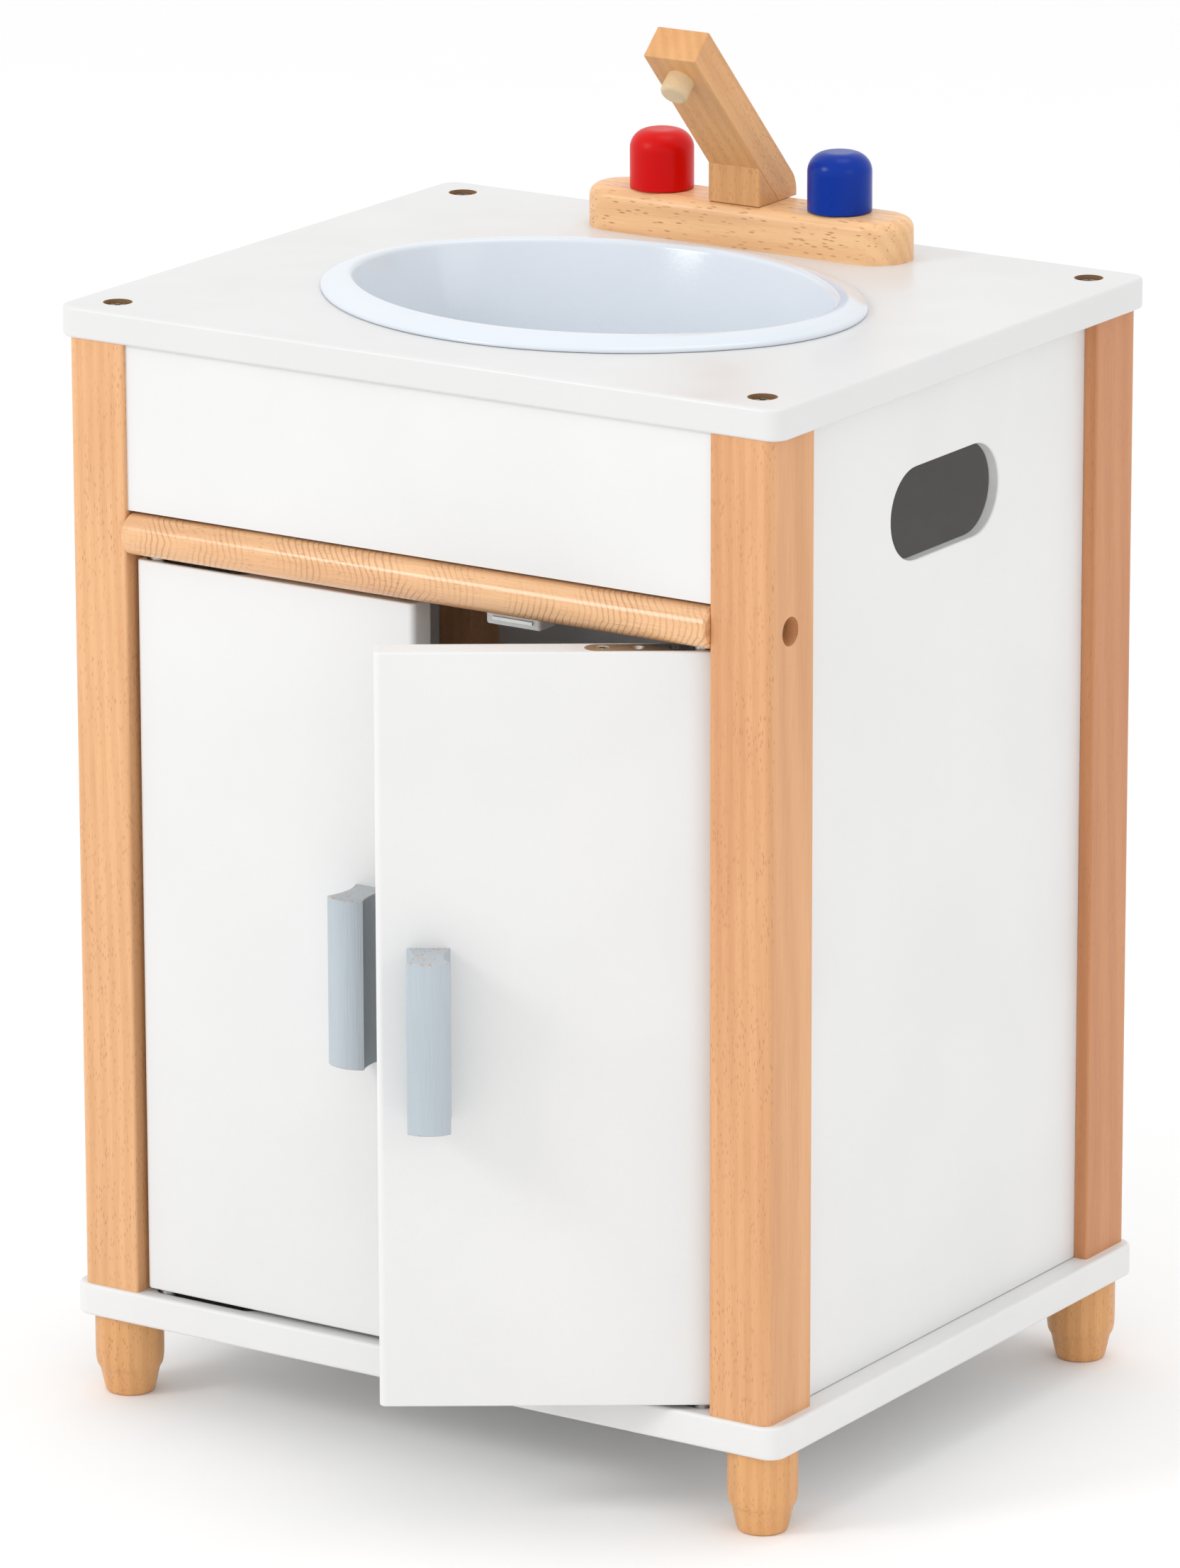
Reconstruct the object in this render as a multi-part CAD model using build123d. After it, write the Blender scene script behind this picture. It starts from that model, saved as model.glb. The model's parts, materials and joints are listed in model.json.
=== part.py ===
from build123d import *
import math
import os

# Toy kitchen: a play sink cabinet. Millimetres, +Z up, +X to the right, the front faces -Y.
# The origin is on the floor, under the middle of the cabinet.

# --- driving sizes ---------------------------------------------------------------------------
top_width = 400.0            # worktop and base board, left to right
top_depth = 330.0            # worktop and base board, front to back
worktop_thickness = 15.0
base_thickness = 16.0
board_corner_radius = 9.0
board_edge_radius = 1.8
cabinet_height = 466.0       # clear height between base board and worktop

post_width = 32.2
post_depth = 37.6
post_side_inset = 5.5        # worktop edge to the post's outer side face
post_front_inset = 1.5       # worktop edge to the post's front face
post_soft_radius = 5.0       # outer corner of a post
post_edge_radius = 1.2

panel_thickness = 6.0
panel_recess = 7.0           # post face to panel face
groove_depth = 8.0
groove_fit = 0.2             # clearance of a panel in its groove, each side
panel_end_gap = 0.4          # panel to the boards above and below it
hand_hole_length = 96.0
hand_hole_height = 44.0
hand_hole_below_worktop = 62.5
hand_hole_edge_radius = 1.0

apron_thickness = 12.0
apron_setback = 2.0          # post front face to apron face
apron_gap = 1.5              # apron to cross rail
apron_dowel_radius = 4.0
apron_dowel_length = 30.0
apron_dowel_spacing = 44.0

rail_height = 20.0
rail_depth = 44.0
rail_proud = 4.8             # rail nose in front of the posts
rail_below_worktop = 81.2    # worktop underside to rail top
rail_end_chamfer = 1.2

door_thickness = 16.0
door_setback = 4.0           # post front face to door face
door_swing_clearance = 0.629 # back corner of a swinging door to the post beside it
door_middle_gap = 4.0
door_end_gap = 2.2           # door to rail above and to base board below
door_edge_radius = 3.0
door_face_radius = 1.0       # front top and bottom edges
pivot_inset = 8.0            # hinge-side edge of a door to its pivot axis
right_door_open_deg = 33.7   # the right door stands ajar

handle_length = 82.0
handle_width = 20.0
handle_waist = 14.5
handle_projection = 26.5
handle_crown = 3.5
handle_edge_radius = 0.6
handle_from_free_edge = 24.0

foot_height = 41.0
foot_radius = 16.6
foot_tip_radius = 11.0
foot_straight = 17.0         # length of the parallel part under the base
foot_tip_round = 4.0
foot_tip_soft = 0.5          # share of the tip's rounding that is its height
foot_belly = 2.0             # how far the taper has come in at half its height
foot_edge_inset = 19.5       # base board's edge to a foot's centre

bowl_side_margin = 63.0      # worktop's side edge to the rim, on average
bowl_front_margin = 36.0     # worktop's front edge to the rim
bowl_tap_gap = 12.2          # rim to the tap's bar
bowl_centre_x = 3.0
bowl_end_flatness = 28.0     # half the bowl's depth less the radius of its ends
rim_width = 18.0
rim_end_share = 0.83         # the rim's width at the bowl's ends, in rim widths
rim_side_share = 1.1         # the rim's width at the bowl's front and back, in rim widths
rim_height = 6.0
rim_lip = 1.5                # upright edge of the rim
bowl_inside_depth = 88.0
bowl_wall = 2.5
bowl_draft = 20.0            # how far the wall leans in from mouth to floor
bowl_floor_radius = 18.0
rim_crest = 0.7              # share of the rim's width at which it is highest
rim_soft_radius = 1.0
cutout_clearance = 1.2

tap_from_back = 37.6         # worktop's back edge to the middle of the bar
tap_bar_length = 178.0
tap_bar_depth = 36.4
tap_bar_height = 20.6
tap_bar_edge_radius = 6.0
tap_screw_from_end = 14.2
knob_radius = 15.6
knob_height = 28.6
knob_dome_radius = 9.5
knob_spacing = 101.0
knob_gap = 0.3               # knob to bar
axle_radius = 4.0
axle_above_bar = 20.0
axle_in_bar = 12.0
running_fit = 0.06           # radial clearance of what turns

spout_width = 29.0
spout_thickness = 17.8
spout_lean_deg = 43.0        # from upright, towards the bowl
spout_underside = 84.4       # length of the straight underside above the riser
spout_foot_front = 15.0      # pivot to the riser's front face
spout_foot_back = 19.1       # pivot to the spout's rear face
spout_heel_radius = 15.0
riser_height = 18.6
spout_gap = 0.3              # spout foot to bar
spout_pin_radius = 4.0
spout_pin_above_bar = 9.0
nozzle_radius = 6.9
nozzle_length = 10.3
nozzle_round = 2.2
nozzle_from_tip = 16.0
tenon_radius = 4.2           # the nozzle's tenon in the spout
tenon_length = 7.8
tenon_end_gap = 0.2
wood_edge_radius = 0.8

plate_width = 12.0
plate_thickness = 2.0
door_plate_length = 60.0
fixed_plate_length = 58.0
door_plate_screws = (13.0, 30.0, 46.0)       # from the pivot axis
fixed_plate_screws = (18.0, 42.0)
let_in_fit = 0.15            # clearance around a plate let into wood
pin_radius = 3.0
pin_in_door = 14.0
pin_under_bolt = 1.1         # end of a top pin to the rail bolt above it
pin_in_base = 12.0
collar_radius = 4.8
collar_gap = 0.1             # collar to the door's plate

catch_width = 30.0
catch_depth = 14.0
catch_height = 11.0
catch_from_middle = 41.0
catch_screw_place = 0.6      # share of the housing's depth behind its front
catch_corner_radius = 1.5
catch_pole_width = 22.0
catch_pole_thickness = 1.5
catch_pole_proud = 0.8
catch_pole_length = 7.0
strike_width = 24.0
strike_height = 9.0
strike_thickness = 1.0
strike_from_top = 1.0
strike_gap = 0.3             # pole to strike with the door shut

screw_fit = 0.05             # radial clearance of a screw in its hole
screw_point = 1.6            # length of a screw's point, in shank radii
screw_tip = 0.2              # radius of its tip, in shank radii
pan_share = 0.62             # height of a pan head, in head radii
pan_round = 0.35             # rounding of a pan head, in head radii
recess_length = 1.1          # cross recess, in head radii
recess_width = 0.24
recess_depth = 0.55          # in head heights
worktop_bore_radius = 6.6    # counterbore over a worktop screw
worktop_bore_depth = 2.6
side_bore_radius = 6.8       # counterbore over a rail bolt
side_bore_depth = 9.0
foot_bore_radius = 5.5       # counterbore in a foot's underside
foot_bore_depth = 15.0

# Screws: head radius, shank radius, length.
worktop_screw_size = (4.6, 2.0, 45.0)
foot_screw_size = (4.6, 2.2, 62.0)
rail_bolt_size = (5.5, 2.9, 44.0)            # ends short of the rail plate's screws
handle_screw_size = (3.6, 1.7, door_thickness + 15.0)
tap_screw_size = (4.0, 1.8, worktop_thickness + 10.0)
door_plate_screw_size = (3.2, 1.5, 15.0)
fixed_plate_screw_size = (3.2, 1.5, 12.0)
catch_screw_size = (2.6, 1.2, catch_height + 9.0)
strike_screw_size = (2.2, 1.0, 9.0)

# --- places worked out from the sizes --------------------------------------------------------
base_bottom = foot_height
base_top = base_bottom + base_thickness
worktop_bottom = base_top + cabinet_height
worktop_top = worktop_bottom + worktop_thickness

post_outer_x = top_width / 2 - post_side_inset
post_front_y = -(top_depth / 2 - post_front_inset)
post_centre_x = post_outer_x - post_width / 2
post_centre_y = -post_front_y - post_depth / 2
post_inner_x = post_outer_x - post_width
opening_half = post_inner_x
foot_x = top_width / 2 - foot_edge_inset
foot_y = top_depth / 2 - foot_edge_inset

tap_centre_y = top_depth / 2 - tap_from_back
tap_bar_front_y = tap_centre_y - tap_bar_depth / 2
bowl_half_length = top_width / 2 - bowl_side_margin
bowl_half_depth = (tap_bar_front_y - bowl_tap_gap + top_depth / 2 - bowl_front_margin) / 2
bowl_centre_y = bowl_front_margin + bowl_half_depth - top_depth / 2
bowl_end_radius = bowl_half_depth - bowl_end_flatness

rail_top = worktop_bottom - rail_below_worktop
rail_bottom = rail_top - rail_height
rail_front_y = post_front_y - rail_proud
rail_back_y = rail_front_y + rail_depth
rail_axis_y = (rail_front_y + rail_back_y) / 2
rail_axis_z = (rail_top + rail_bottom) / 2
pin_in_rail = rail_height / 2 - rail_bolt_size[1] - pin_under_bolt

corner_reach = math.hypot(pivot_inset - door_edge_radius, door_thickness / 2 - door_edge_radius)
door_side_gap = corner_reach + door_edge_radius - pivot_inset + door_swing_clearance
door_front_y = post_front_y + door_setback
door_back_y = door_front_y + door_thickness
door_width = opening_half - door_side_gap - door_middle_gap / 2
door_bottom = base_top + door_end_gap
door_top = rail_bottom - door_end_gap
pivot_x = opening_half - door_side_gap - pivot_inset
pivot_y = (door_front_y + door_back_y) / 2

door_middle_z = (door_top + door_bottom) / 2
handle_x = door_middle_gap / 2 + handle_from_free_edge

strike_centre_z = door_top - strike_height / 2 - strike_from_top
catch_front_gap = strike_thickness + strike_gap + catch_pole_proud
catch_screw_y = door_back_y + catch_front_gap + catch_depth * catch_screw_place

hand_hole_z = worktop_bottom - hand_hole_below_worktop
tap_bar_top = worktop_top + tap_bar_height
spout_run = Vector(0, -math.sin(math.radians(spout_lean_deg)), math.cos(math.radians(spout_lean_deg)))
spout_across = Vector(0, spout_run.Z, -spout_run.Y)
underside_foot = -spout_foot_front - spout_run.Y / spout_run.Z * riser_height   # from the pivot


# --- helpers -----------------------------------------------------------------------------------
def block(x0, x1, y0, y1, z0, z1):
    size = (abs(x1 - x0), abs(y1 - y0), abs(z1 - z0))
    return Pos((x0 + x1) / 2, (y0 + y1) / 2, (z0 + z1) / 2) * Box(*size)


def rod(start, direction, radius, length):
    """A cylinder from start along direction."""
    return extrude(Plane(origin=start, z_dir=direction) * Circle(radius), length)


def upright_edges(part):
    return part.edges().filter_by(Axis.Z)


def slot_plate(x0, x1, centre_y, width, z0, z1):
    """A flat strip with round ends, lying along X."""
    outline = SlotOverall(x1 - x0, width)
    return extrude(Pos((x0 + x1) / 2, centre_y, z0) * outline, z1 - z0)


def group(solids):
    return Compound([s.solid() if isinstance(s, Part) else s for s in solids])


def pan_height(head_radius):
    return head_radius * pan_share


def wood_screw(head, direction, head_radius, shank_radius, length, pan=False):
    """A screw whose head's outer face is at head; it points along direction."""
    direction = Vector(*direction)
    tip = Vector(*head) + direction * length
    head_height = pan_height(head_radius) if pan else head_radius - shank_radius
    plane = Plane(origin=head, z_dir=direction)
    if pan:
        cap = extrude(plane * Circle(head_radius), head_height)
        cap = fillet(cap.edges().sort_by(Axis(tip, direction * -1))[-1], head_radius * pan_round)
    else:
        cap = loft([plane * Circle(head_radius), plane.offset(head_height) * Circle(shank_radius)])
    neck = Vector(*head) + direction * (head_height / 2)
    shank = rod(neck, direction, shank_radius, length - head_height / 2)
    point = Plane(origin=tip, z_dir=direction)
    tip_end = point.offset(shank_radius * screw_point)
    shank += loft([point * Circle(shank_radius), tip_end * Circle(shank_radius * screw_tip)])
    for turn in (0, 90):
        slit = Rectangle(head_radius * recess_length, head_radius * recess_width)
        cap -= extrude(plane.rotated((0, 0, turn)) * slit, head_height * recess_depth)
    return (cap + shank).solid()


def screw_hole(head, direction, head_radius, shank_radius, length, pan=False):
    """What a wood_screw of the same sizes needs cut away, with clearance."""
    direction = Vector(*direction)
    plane = Plane(origin=head, z_dir=direction)
    hole = extrude(plane * Circle(shank_radius + screw_fit), length + shank_radius * (screw_point + 0.4))
    if not pan:
        wide = head_radius + 2 * screw_fit
        cone_end = plane.offset(head_radius - shank_radius + 2 * screw_fit)
        hole += loft([plane * Circle(wide), cone_end * Circle(shank_radius)])
        hole += extrude(plane.offset(-0.5) * Circle(wide), 0.5)
    return hole


def oval(half_length, half_depth, end_radius, z):
    """A four-arc oval face about the bowl's centre, at height z."""
    rise = half_length - end_radius
    side_radius = (rise**2 + half_depth**2 - end_radius**2) / (2 * (half_depth - end_radius))
    side_centre = Vector(0, -(side_radius - half_depth))
    end_centre = Vector(rise, 0)
    meet = side_centre + (end_centre - side_centre).normalized() * side_radius
    arcs = [
        ThreePointArc((-meet.X, meet.Y), (0, half_depth), (meet.X, meet.Y)),
        ThreePointArc((meet.X, meet.Y), (half_length, 0), (meet.X, -meet.Y)),
        ThreePointArc((meet.X, -meet.Y), (0, -half_depth), (-meet.X, -meet.Y)),
        ThreePointArc((-meet.X, -meet.Y), (-half_length, 0), (-meet.X, meet.Y)),
    ]
    return Pos(bowl_centre_x, bowl_centre_y, z) * make_face(arcs)


def bowl_oval(inset, z):
    """The rim's outer oval drawn in by inset, less at the ends than at the sides."""
    half_length = bowl_half_length - inset * rim_end_share
    half_depth = bowl_half_depth - inset * rim_side_share
    return oval(half_length, half_depth, bowl_end_radius - inset, z)


# --- screws and bolts: head place, direction, head radius, shank radius, length, pan head --------
def worktop_screw(sx, sy):
    head = (sx * post_centre_x, sy * post_centre_y, worktop_top - worktop_bore_depth)
    return (head, (0, 0, -1), *worktop_screw_size)


def foot_screw(sx, sy):
    return ((sx * foot_x, sy * foot_y, foot_bore_depth), (0, 0, 1), *foot_screw_size)


def rail_bolt(side):
    seat = post_outer_x - side_bore_depth + pan_height(rail_bolt_size[0])
    return ((side * seat, rail_axis_y, rail_axis_z), (-side, 0, 0), *rail_bolt_size, True)


def handle_screw(side, level):
    head = (side * handle_x, door_back_y, door_middle_z + level * handle_length / 4)
    return (head, (0, -1, 0), *handle_screw_size)


def tap_bar_screw(side):
    head = (side * (tap_bar_length / 2 - tap_screw_from_end), tap_centre_y, worktop_bottom)
    return (head, (0, 0, 1), *tap_screw_size)


def door_plate_screw(side, reach, edge):
    z = door_top if edge > 0 else door_bottom
    return ((side * (pivot_x - reach), pivot_y, z), (0, 0, -edge), *door_plate_screw_size)


def fixed_plate_screw(side, reach, edge):
    z = rail_bottom if edge > 0 else base_top
    return ((side * (pivot_x - reach), pivot_y, z), (0, 0, edge), *fixed_plate_screw_size)


def catch_screw(side, place):
    x = side * catch_from_middle + place * catch_width / 3
    return ((x, catch_screw_y, rail_bottom - catch_height), (0, 0, 1), *catch_screw_size)


def strike_screw(side):
    head = (side * catch_from_middle, door_back_y + strike_thickness, strike_centre_z)
    return (head, (0, -1, 0), *strike_screw_size)


def cut_screws(part, specs):
    for spec in specs:
        part -= screw_hole(*spec)
    return part


def screws(specs, side=-1):
    return group([ajar(wood_screw(*spec), side) for spec in specs])


corners = [(sx, sy) for sy in (-1, 1) for sx in (-1, 1)]
sides = {"left": -1, "right": 1}


# --- cabinet -------------------------------------------------------------------------------------
def board(z0, thickness):
    part = block(-top_width / 2, top_width / 2, -top_depth / 2, top_depth / 2, z0, z0 + thickness)
    part = fillet(upright_edges(part), board_corner_radius)
    rims = part.faces().filter_by(Axis.Z).edges()
    return fillet(rims, board_edge_radius)


def cutout():
    wall_inset = rim_width - bowl_wall
    face = bowl_oval(wall_inset - cutout_clearance, worktop_bottom - 1)
    return extrude(face, worktop_thickness + 2)


def worktop():
    part = board(worktop_bottom, worktop_thickness) - cutout()
    for sx, sy in corners:
        spot = (sx * post_centre_x, sy * post_centre_y, worktop_top)
        part -= rod(spot, (0, 0, -1), worktop_bore_radius, worktop_bore_depth)
        part -= screw_hole(*worktop_screw(sx, sy))
    return cut_screws(part, [tap_bar_screw(side) for side in sides.values()])


def base_panel():
    part = board(base_bottom, base_thickness)
    part = cut_screws(part, [foot_screw(sx, sy) for sx, sy in corners])
    for side in sides.values():
        part -= fixed_plate_pocket(side, -1)
        part -= rod((side * pivot_x, pivot_y, base_top), (0, 0, -1), pin_radius + screw_fit, pin_in_base)
        part = cut_screws(part, [fixed_plate_screw(side, reach, -1) for reach in fixed_plate_screws])
    return part


def side_groove(sx, margin):
    """The space a side panel takes, grown by margin where it sits in the posts."""
    outer = post_outer_x - panel_recess
    y = -post_front_y - post_depth + groove_depth
    return block(sx * (outer + margin), sx * (outer - panel_thickness - margin), -y - margin, y + margin,
                 base_top + panel_end_gap - 5 * margin, worktop_bottom - panel_end_gap + 5 * margin)


def back_groove(margin):
    outer = -post_front_y - panel_recess
    x = post_inner_x + groove_depth
    return block(-x - margin, x + margin, outer + margin, outer - panel_thickness - margin,
                 base_top + panel_end_gap - 5 * margin, worktop_bottom - panel_end_gap + 5 * margin)


def apron_dowel(side, level):
    """Where a dowel between post and apron starts, and its direction."""
    y = post_front_y + apron_setback + apron_thickness / 2
    z = (rail_top + apron_gap + worktop_bottom) / 2 + level * apron_dowel_spacing / 2
    start = (side * (post_inner_x + apron_dowel_length / 2), y, z)
    return start, (-side, 0, 0)


def post(sx, sy):
    x0, x1 = sx * post_inner_x, sx * post_outer_x
    y0, y1 = sy * (-post_front_y - post_depth), -sy * post_front_y
    part = block(x0, x1, y0, y1, base_top, worktop_bottom)
    edges = upright_edges(part).sort_by(lambda e: sx * e.center().X + sy * e.center().Y)
    part = fillet(edges[-1], post_soft_radius)
    others = [e for e in upright_edges(part) if e.center().X * sx < 0.5 * (post_inner_x + post_outer_x)
              or e.center().Y * sy < -post_front_y - post_depth / 2]
    part = fillet(others, post_edge_radius)
    part -= side_groove(sx, groove_fit)
    if sy > 0:
        part -= back_groove(groove_fit)
    else:
        part -= rod((x1, rail_axis_y, rail_axis_z), (-sx, 0, 0), side_bore_radius, side_bore_depth)
        part = cut_screws(part, [rail_bolt(sx)])
        for level in (-1, 1):
            part -= rod(*apron_dowel(sx, level), apron_dowel_radius + screw_fit, apron_dowel_length)
    return cut_screws(part, [worktop_screw(sx, sy), foot_screw(sx, sy)])


def side_panel(sx):
    part = side_groove(sx, 0)
    hole = Plane(origin=(0, 0, hand_hole_z), x_dir=(0, 1, 0), z_dir=(1, 0, 0)) \
        * SlotOverall(hand_hole_length, hand_hole_height)
    part -= extrude(hole, post_outer_x, both=True)
    rims = [e for e in part.edges() if abs(e.center().Y) < hand_hole_length * 0.55
            and abs(e.center().Z - hand_hole_z) < hand_hole_height * 0.55
            and e.length > panel_thickness * 1.5]
    return fillet(rims, hand_hole_edge_radius)


def front_apron():
    y0 = post_front_y + apron_setback
    z0 = rail_top + apron_gap
    part = block(-post_inner_x, post_inner_x, y0, y0 + apron_thickness, z0, worktop_bottom)
    for side in sides.values():
        for level in (-1, 1):
            part -= rod(*apron_dowel(side, level), apron_dowel_radius + screw_fit, apron_dowel_length + 1)
    return part


def apron_dowels():
    solids = []
    for side in sides.values():
        for level in (-1, 1):
            dowel = rod(*apron_dowel(side, level), apron_dowel_radius, apron_dowel_length)
            solids.append(chamfer(dowel.edges().filter_by(GeomType.CIRCLE), 1.0))
    return group(solids)


def cross_rail():
    part = block(-post_inner_x, post_inner_x, rail_front_y, rail_back_y, rail_bottom, rail_top)
    nose = [e for e in part.edges().filter_by(Axis.X) if e.center().Y < rail_front_y + 1]
    part = fillet(nose, rail_height / 2 - 0.05)
    ends = [e for e in part.edges() if abs(abs(e.center().X) - post_inner_x) < 0.01
            and e.center().Y < post_front_y + 4]
    part = chamfer(ends, rail_end_chamfer)
    for side in sides.values():
        part -= fixed_plate_pocket(side, 1)
        part -= rod((side * pivot_x, pivot_y, rail_bottom), (0, 0, 1), pin_radius + screw_fit, pin_in_rail)
        specs = [fixed_plate_screw(side, reach, 1) for reach in fixed_plate_screws]
        specs += [catch_screw(side, place) for place in (-1, 1)]
        part = cut_screws(part, specs + [rail_bolt(side)])
    return part


def foot(sx, sy):
    """A turned foot: parallel under the base, then tapering to a rounded tip."""
    taper_top = (foot_radius, foot_height - foot_straight)
    tip_flat = (foot_tip_radius - foot_tip_round * 0.2, 0)
    tip_side = (foot_tip_radius + foot_tip_round * 0.3, foot_tip_round * foot_tip_soft)
    belly = (foot_radius - foot_belly, taper_top[1] / 2)
    with BuildLine() as line:
        Line((0, 0), tip_flat)
        Spline(tip_flat, tip_side, belly, taper_top, tangents=((1, 0), (0, 1)))
        Line(taper_top, (foot_radius, foot_height))
        Line((foot_radius, foot_height), (0, foot_height))
        Line((0, foot_height), (0, 0))
    part = revolve(Plane.XZ * make_face(line.edges()), Axis.Z)
    part = Pos(sx * foot_x, sy * foot_y, 0) * part
    part -= rod((sx * foot_x, sy * foot_y, 0), (0, 0, 1), foot_bore_radius, foot_bore_depth)
    return cut_screws(part, [foot_screw(sx, sy)])


# --- bowl ----------------------------------------------------------------------------------------
def sink_bowl():
    rim_top = worktop_top + rim_height
    floor_z = rim_top - bowl_inside_depth
    outer = rim_width - bowl_wall
    rim = extrude(bowl_oval(0, worktop_top), rim_lip)
    rim += loft([bowl_oval(0, worktop_top + rim_lip), bowl_oval(rim_width * rim_crest, rim_top)])
    body = loft([bowl_oval(outer, rim_top - 1), bowl_oval(outer + bowl_draft, floor_z - bowl_wall)])
    body = fillet(body.faces().sort_by(Axis.Z)[0].edges(), bowl_floor_radius + bowl_wall)
    space = loft([bowl_oval(rim_width, rim_top), bowl_oval(rim_width + bowl_draft, floor_z)])
    space = fillet(space.faces().sort_by(Axis.Z)[0].edges(), bowl_floor_radius)
    part = rim + body - space
    crown = [e for e in part.edges() if e.center().Z > worktop_top + 1
             and abs(e.bounding_box().max.Z - e.bounding_box().min.Z) < 0.01]
    return fillet(crown, rim_soft_radius)


# --- tap -----------------------------------------------------------------------------------------
def tap_base():
    outline = SlotOverall(tap_bar_length, tap_bar_depth)
    part = extrude(Pos(0, tap_centre_y, worktop_top) * outline, tap_bar_height)
    part = fillet(part.faces().sort_by(Axis.Z)[-1].edges(), tap_bar_edge_radius)
    for side in sides.values():
        part -= rod((side * knob_spacing / 2, tap_centre_y, tap_bar_top), (0, 0, -1),
                    axle_radius + screw_fit, axle_in_bar)
    part -= rod((0, tap_centre_y, tap_bar_top), (0, 0, -1), spout_pin_radius + screw_fit, axle_in_bar)
    return cut_screws(part, [tap_bar_screw(side) for side in sides.values()])


def dowel_pin(x, radius, above):
    pin = rod((x, tap_centre_y, tap_bar_top - axle_in_bar), (0, 0, 1), radius, axle_in_bar + above)
    return chamfer(pin.edges().filter_by(GeomType.CIRCLE), 0.6)


def knob_axle(side):
    return dowel_pin(side * knob_spacing / 2, axle_radius, axle_above_bar)


def knob(side):
    x = side * knob_spacing / 2
    part = rod((x, tap_centre_y, tap_bar_top + knob_gap), (0, 0, 1), knob_radius, knob_height)
    part = fillet(part.edges().sort_by(Axis.Z)[-1], knob_dome_radius)
    part = fillet(part.edges().sort_by(Axis.Z)[0], 0.6)
    below = (x, tap_centre_y, tap_bar_top - 1)
    return part - rod(below, (0, 0, 1), axle_radius + running_fit, axle_above_bar + 2)


def spout_frame(y, z):
    """A point in the spout's own plane: y from the pivot, z from the spout's underside."""
    return Vector(0, tap_centre_y + y, tap_bar_top + spout_gap + z)


def side_outline(points):
    wire = Polyline(*points, close=True)
    return Pos(-spout_width / 2, 0, 0) * make_face(wire)


def spout_pin_hole():
    return rod((0, tap_centre_y, tap_bar_top - 1), (0, 0, 1), spout_pin_radius + running_fit,
               spout_pin_above_bar + 1.5)


def tap_riser():
    top_front = spout_frame(-spout_foot_front, riser_height)
    points = [spout_frame(-spout_foot_front, 0), spout_frame(underside_foot, 0), top_front]
    part = extrude(side_outline(points), spout_width, dir=(1, 0, 0))
    front = [e for e in part.edges() if abs(e.center().Y - (tap_centre_y - spout_foot_front)) < 0.01
             and e.length < riser_height + 0.1]
    part = fillet(front, wood_edge_radius)
    return part - spout_pin_hole()


def tap_spout():
    under_back = spout_frame(underside_foot, 0)
    under_tip = spout_frame(-spout_foot_front, riser_height) + spout_run * spout_underside
    upper_tip = under_tip + spout_across * spout_thickness
    heel_y = tap_centre_y + spout_foot_back
    climb = (upper_tip.Y - heel_y) / spout_run.Y
    heel_top = upper_tip - spout_run * climb
    points = [under_back, spout_frame(spout_foot_back, 0), heel_top, upper_tip, under_tip]
    part = extrude(side_outline(points), spout_width, dir=(1, 0, 0))
    along = part.edges().filter_by(Axis.X)
    heel = [e for e in along if (e.center() - Vector(0, heel_top.Y, heel_top.Z)).length < 0.1]
    part = fillet(heel, spout_heel_radius)
    tip = [e for e in part.edges() if e.center().Z > worktop_top + 60]
    part = fillet(tip, wood_edge_radius)
    part -= rod(nozzle_start(), spout_across, tenon_radius + screw_fit, tenon_length + tenon_end_gap)
    return part - spout_pin_hole()


def nozzle_start():
    tip = spout_frame(-spout_foot_front, riser_height) + spout_run * spout_underside
    return tip - spout_run * nozzle_from_tip


def spout_nozzle():
    peg = rod(nozzle_start(), spout_across * -1, nozzle_radius, nozzle_length)
    outward = Axis((0, 0, 0), (0, -spout_across.Y, -spout_across.Z))
    peg = fillet(peg.edges().filter_by(GeomType.CIRCLE).sort_by(outward)[-1], nozzle_round)
    return peg + rod(nozzle_start(), spout_across, tenon_radius, tenon_length)


# --- doors and hinges ------------------------------------------------------------------------------
def ajar(part, side):
    """The right door and all that is fixed to it stand open; the left door is shut."""
    if side < 0:
        return part
    return part.rotate(Axis((side * pivot_x, pivot_y, 0), (0, 0, 1)), right_door_open_deg)


def strip(side, length, z0, z1, margin):
    x_axis_end = pivot_x + plate_width / 2 + margin
    x_far_end = pivot_x + plate_width / 2 - length - margin
    low, high = sorted((side * x_axis_end, side * x_far_end))
    return slot_plate(low, high, pivot_y, plate_width + 2 * margin, z0, z1)


def door_plate(side, edge):
    z = door_top if edge > 0 else door_bottom
    z0, z1 = sorted((z, z - edge * plate_thickness))
    part = strip(side, door_plate_length, z0, z1, 0)
    above = (side * pivot_x, pivot_y, z + edge)
    part -= rod(above, (0, 0, -edge), pin_radius + running_fit, door_thickness)
    specs = [door_plate_screw(side, reach, edge) for reach in door_plate_screws]
    return ajar(cut_screws(part, specs), side)


def fixed_plate_pocket(side, edge):
    z = rail_bottom if edge > 0 else base_top
    z0, z1 = sorted((z - edge, z + edge * plate_thickness))
    return strip(side, fixed_plate_length, z0, z1, let_in_fit)


def fixed_plate(side, edge):
    z = rail_bottom if edge > 0 else base_top
    z0, z1 = sorted((z, z + edge * plate_thickness))
    part = strip(side, fixed_plate_length, z0, z1, 0)
    part -= rod((side * pivot_x, pivot_y, z - edge), (0, 0, edge), pin_radius + screw_fit, base_thickness)
    return cut_screws(part, [fixed_plate_screw(side, reach, edge) for reach in fixed_plate_screws])


def fixed_plate_screw_set(edge):
    places = [(side, reach) for side in sides.values() for reach in fixed_plate_screws]
    return screws([fixed_plate_screw(side, reach, edge) for side, reach in places])


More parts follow.
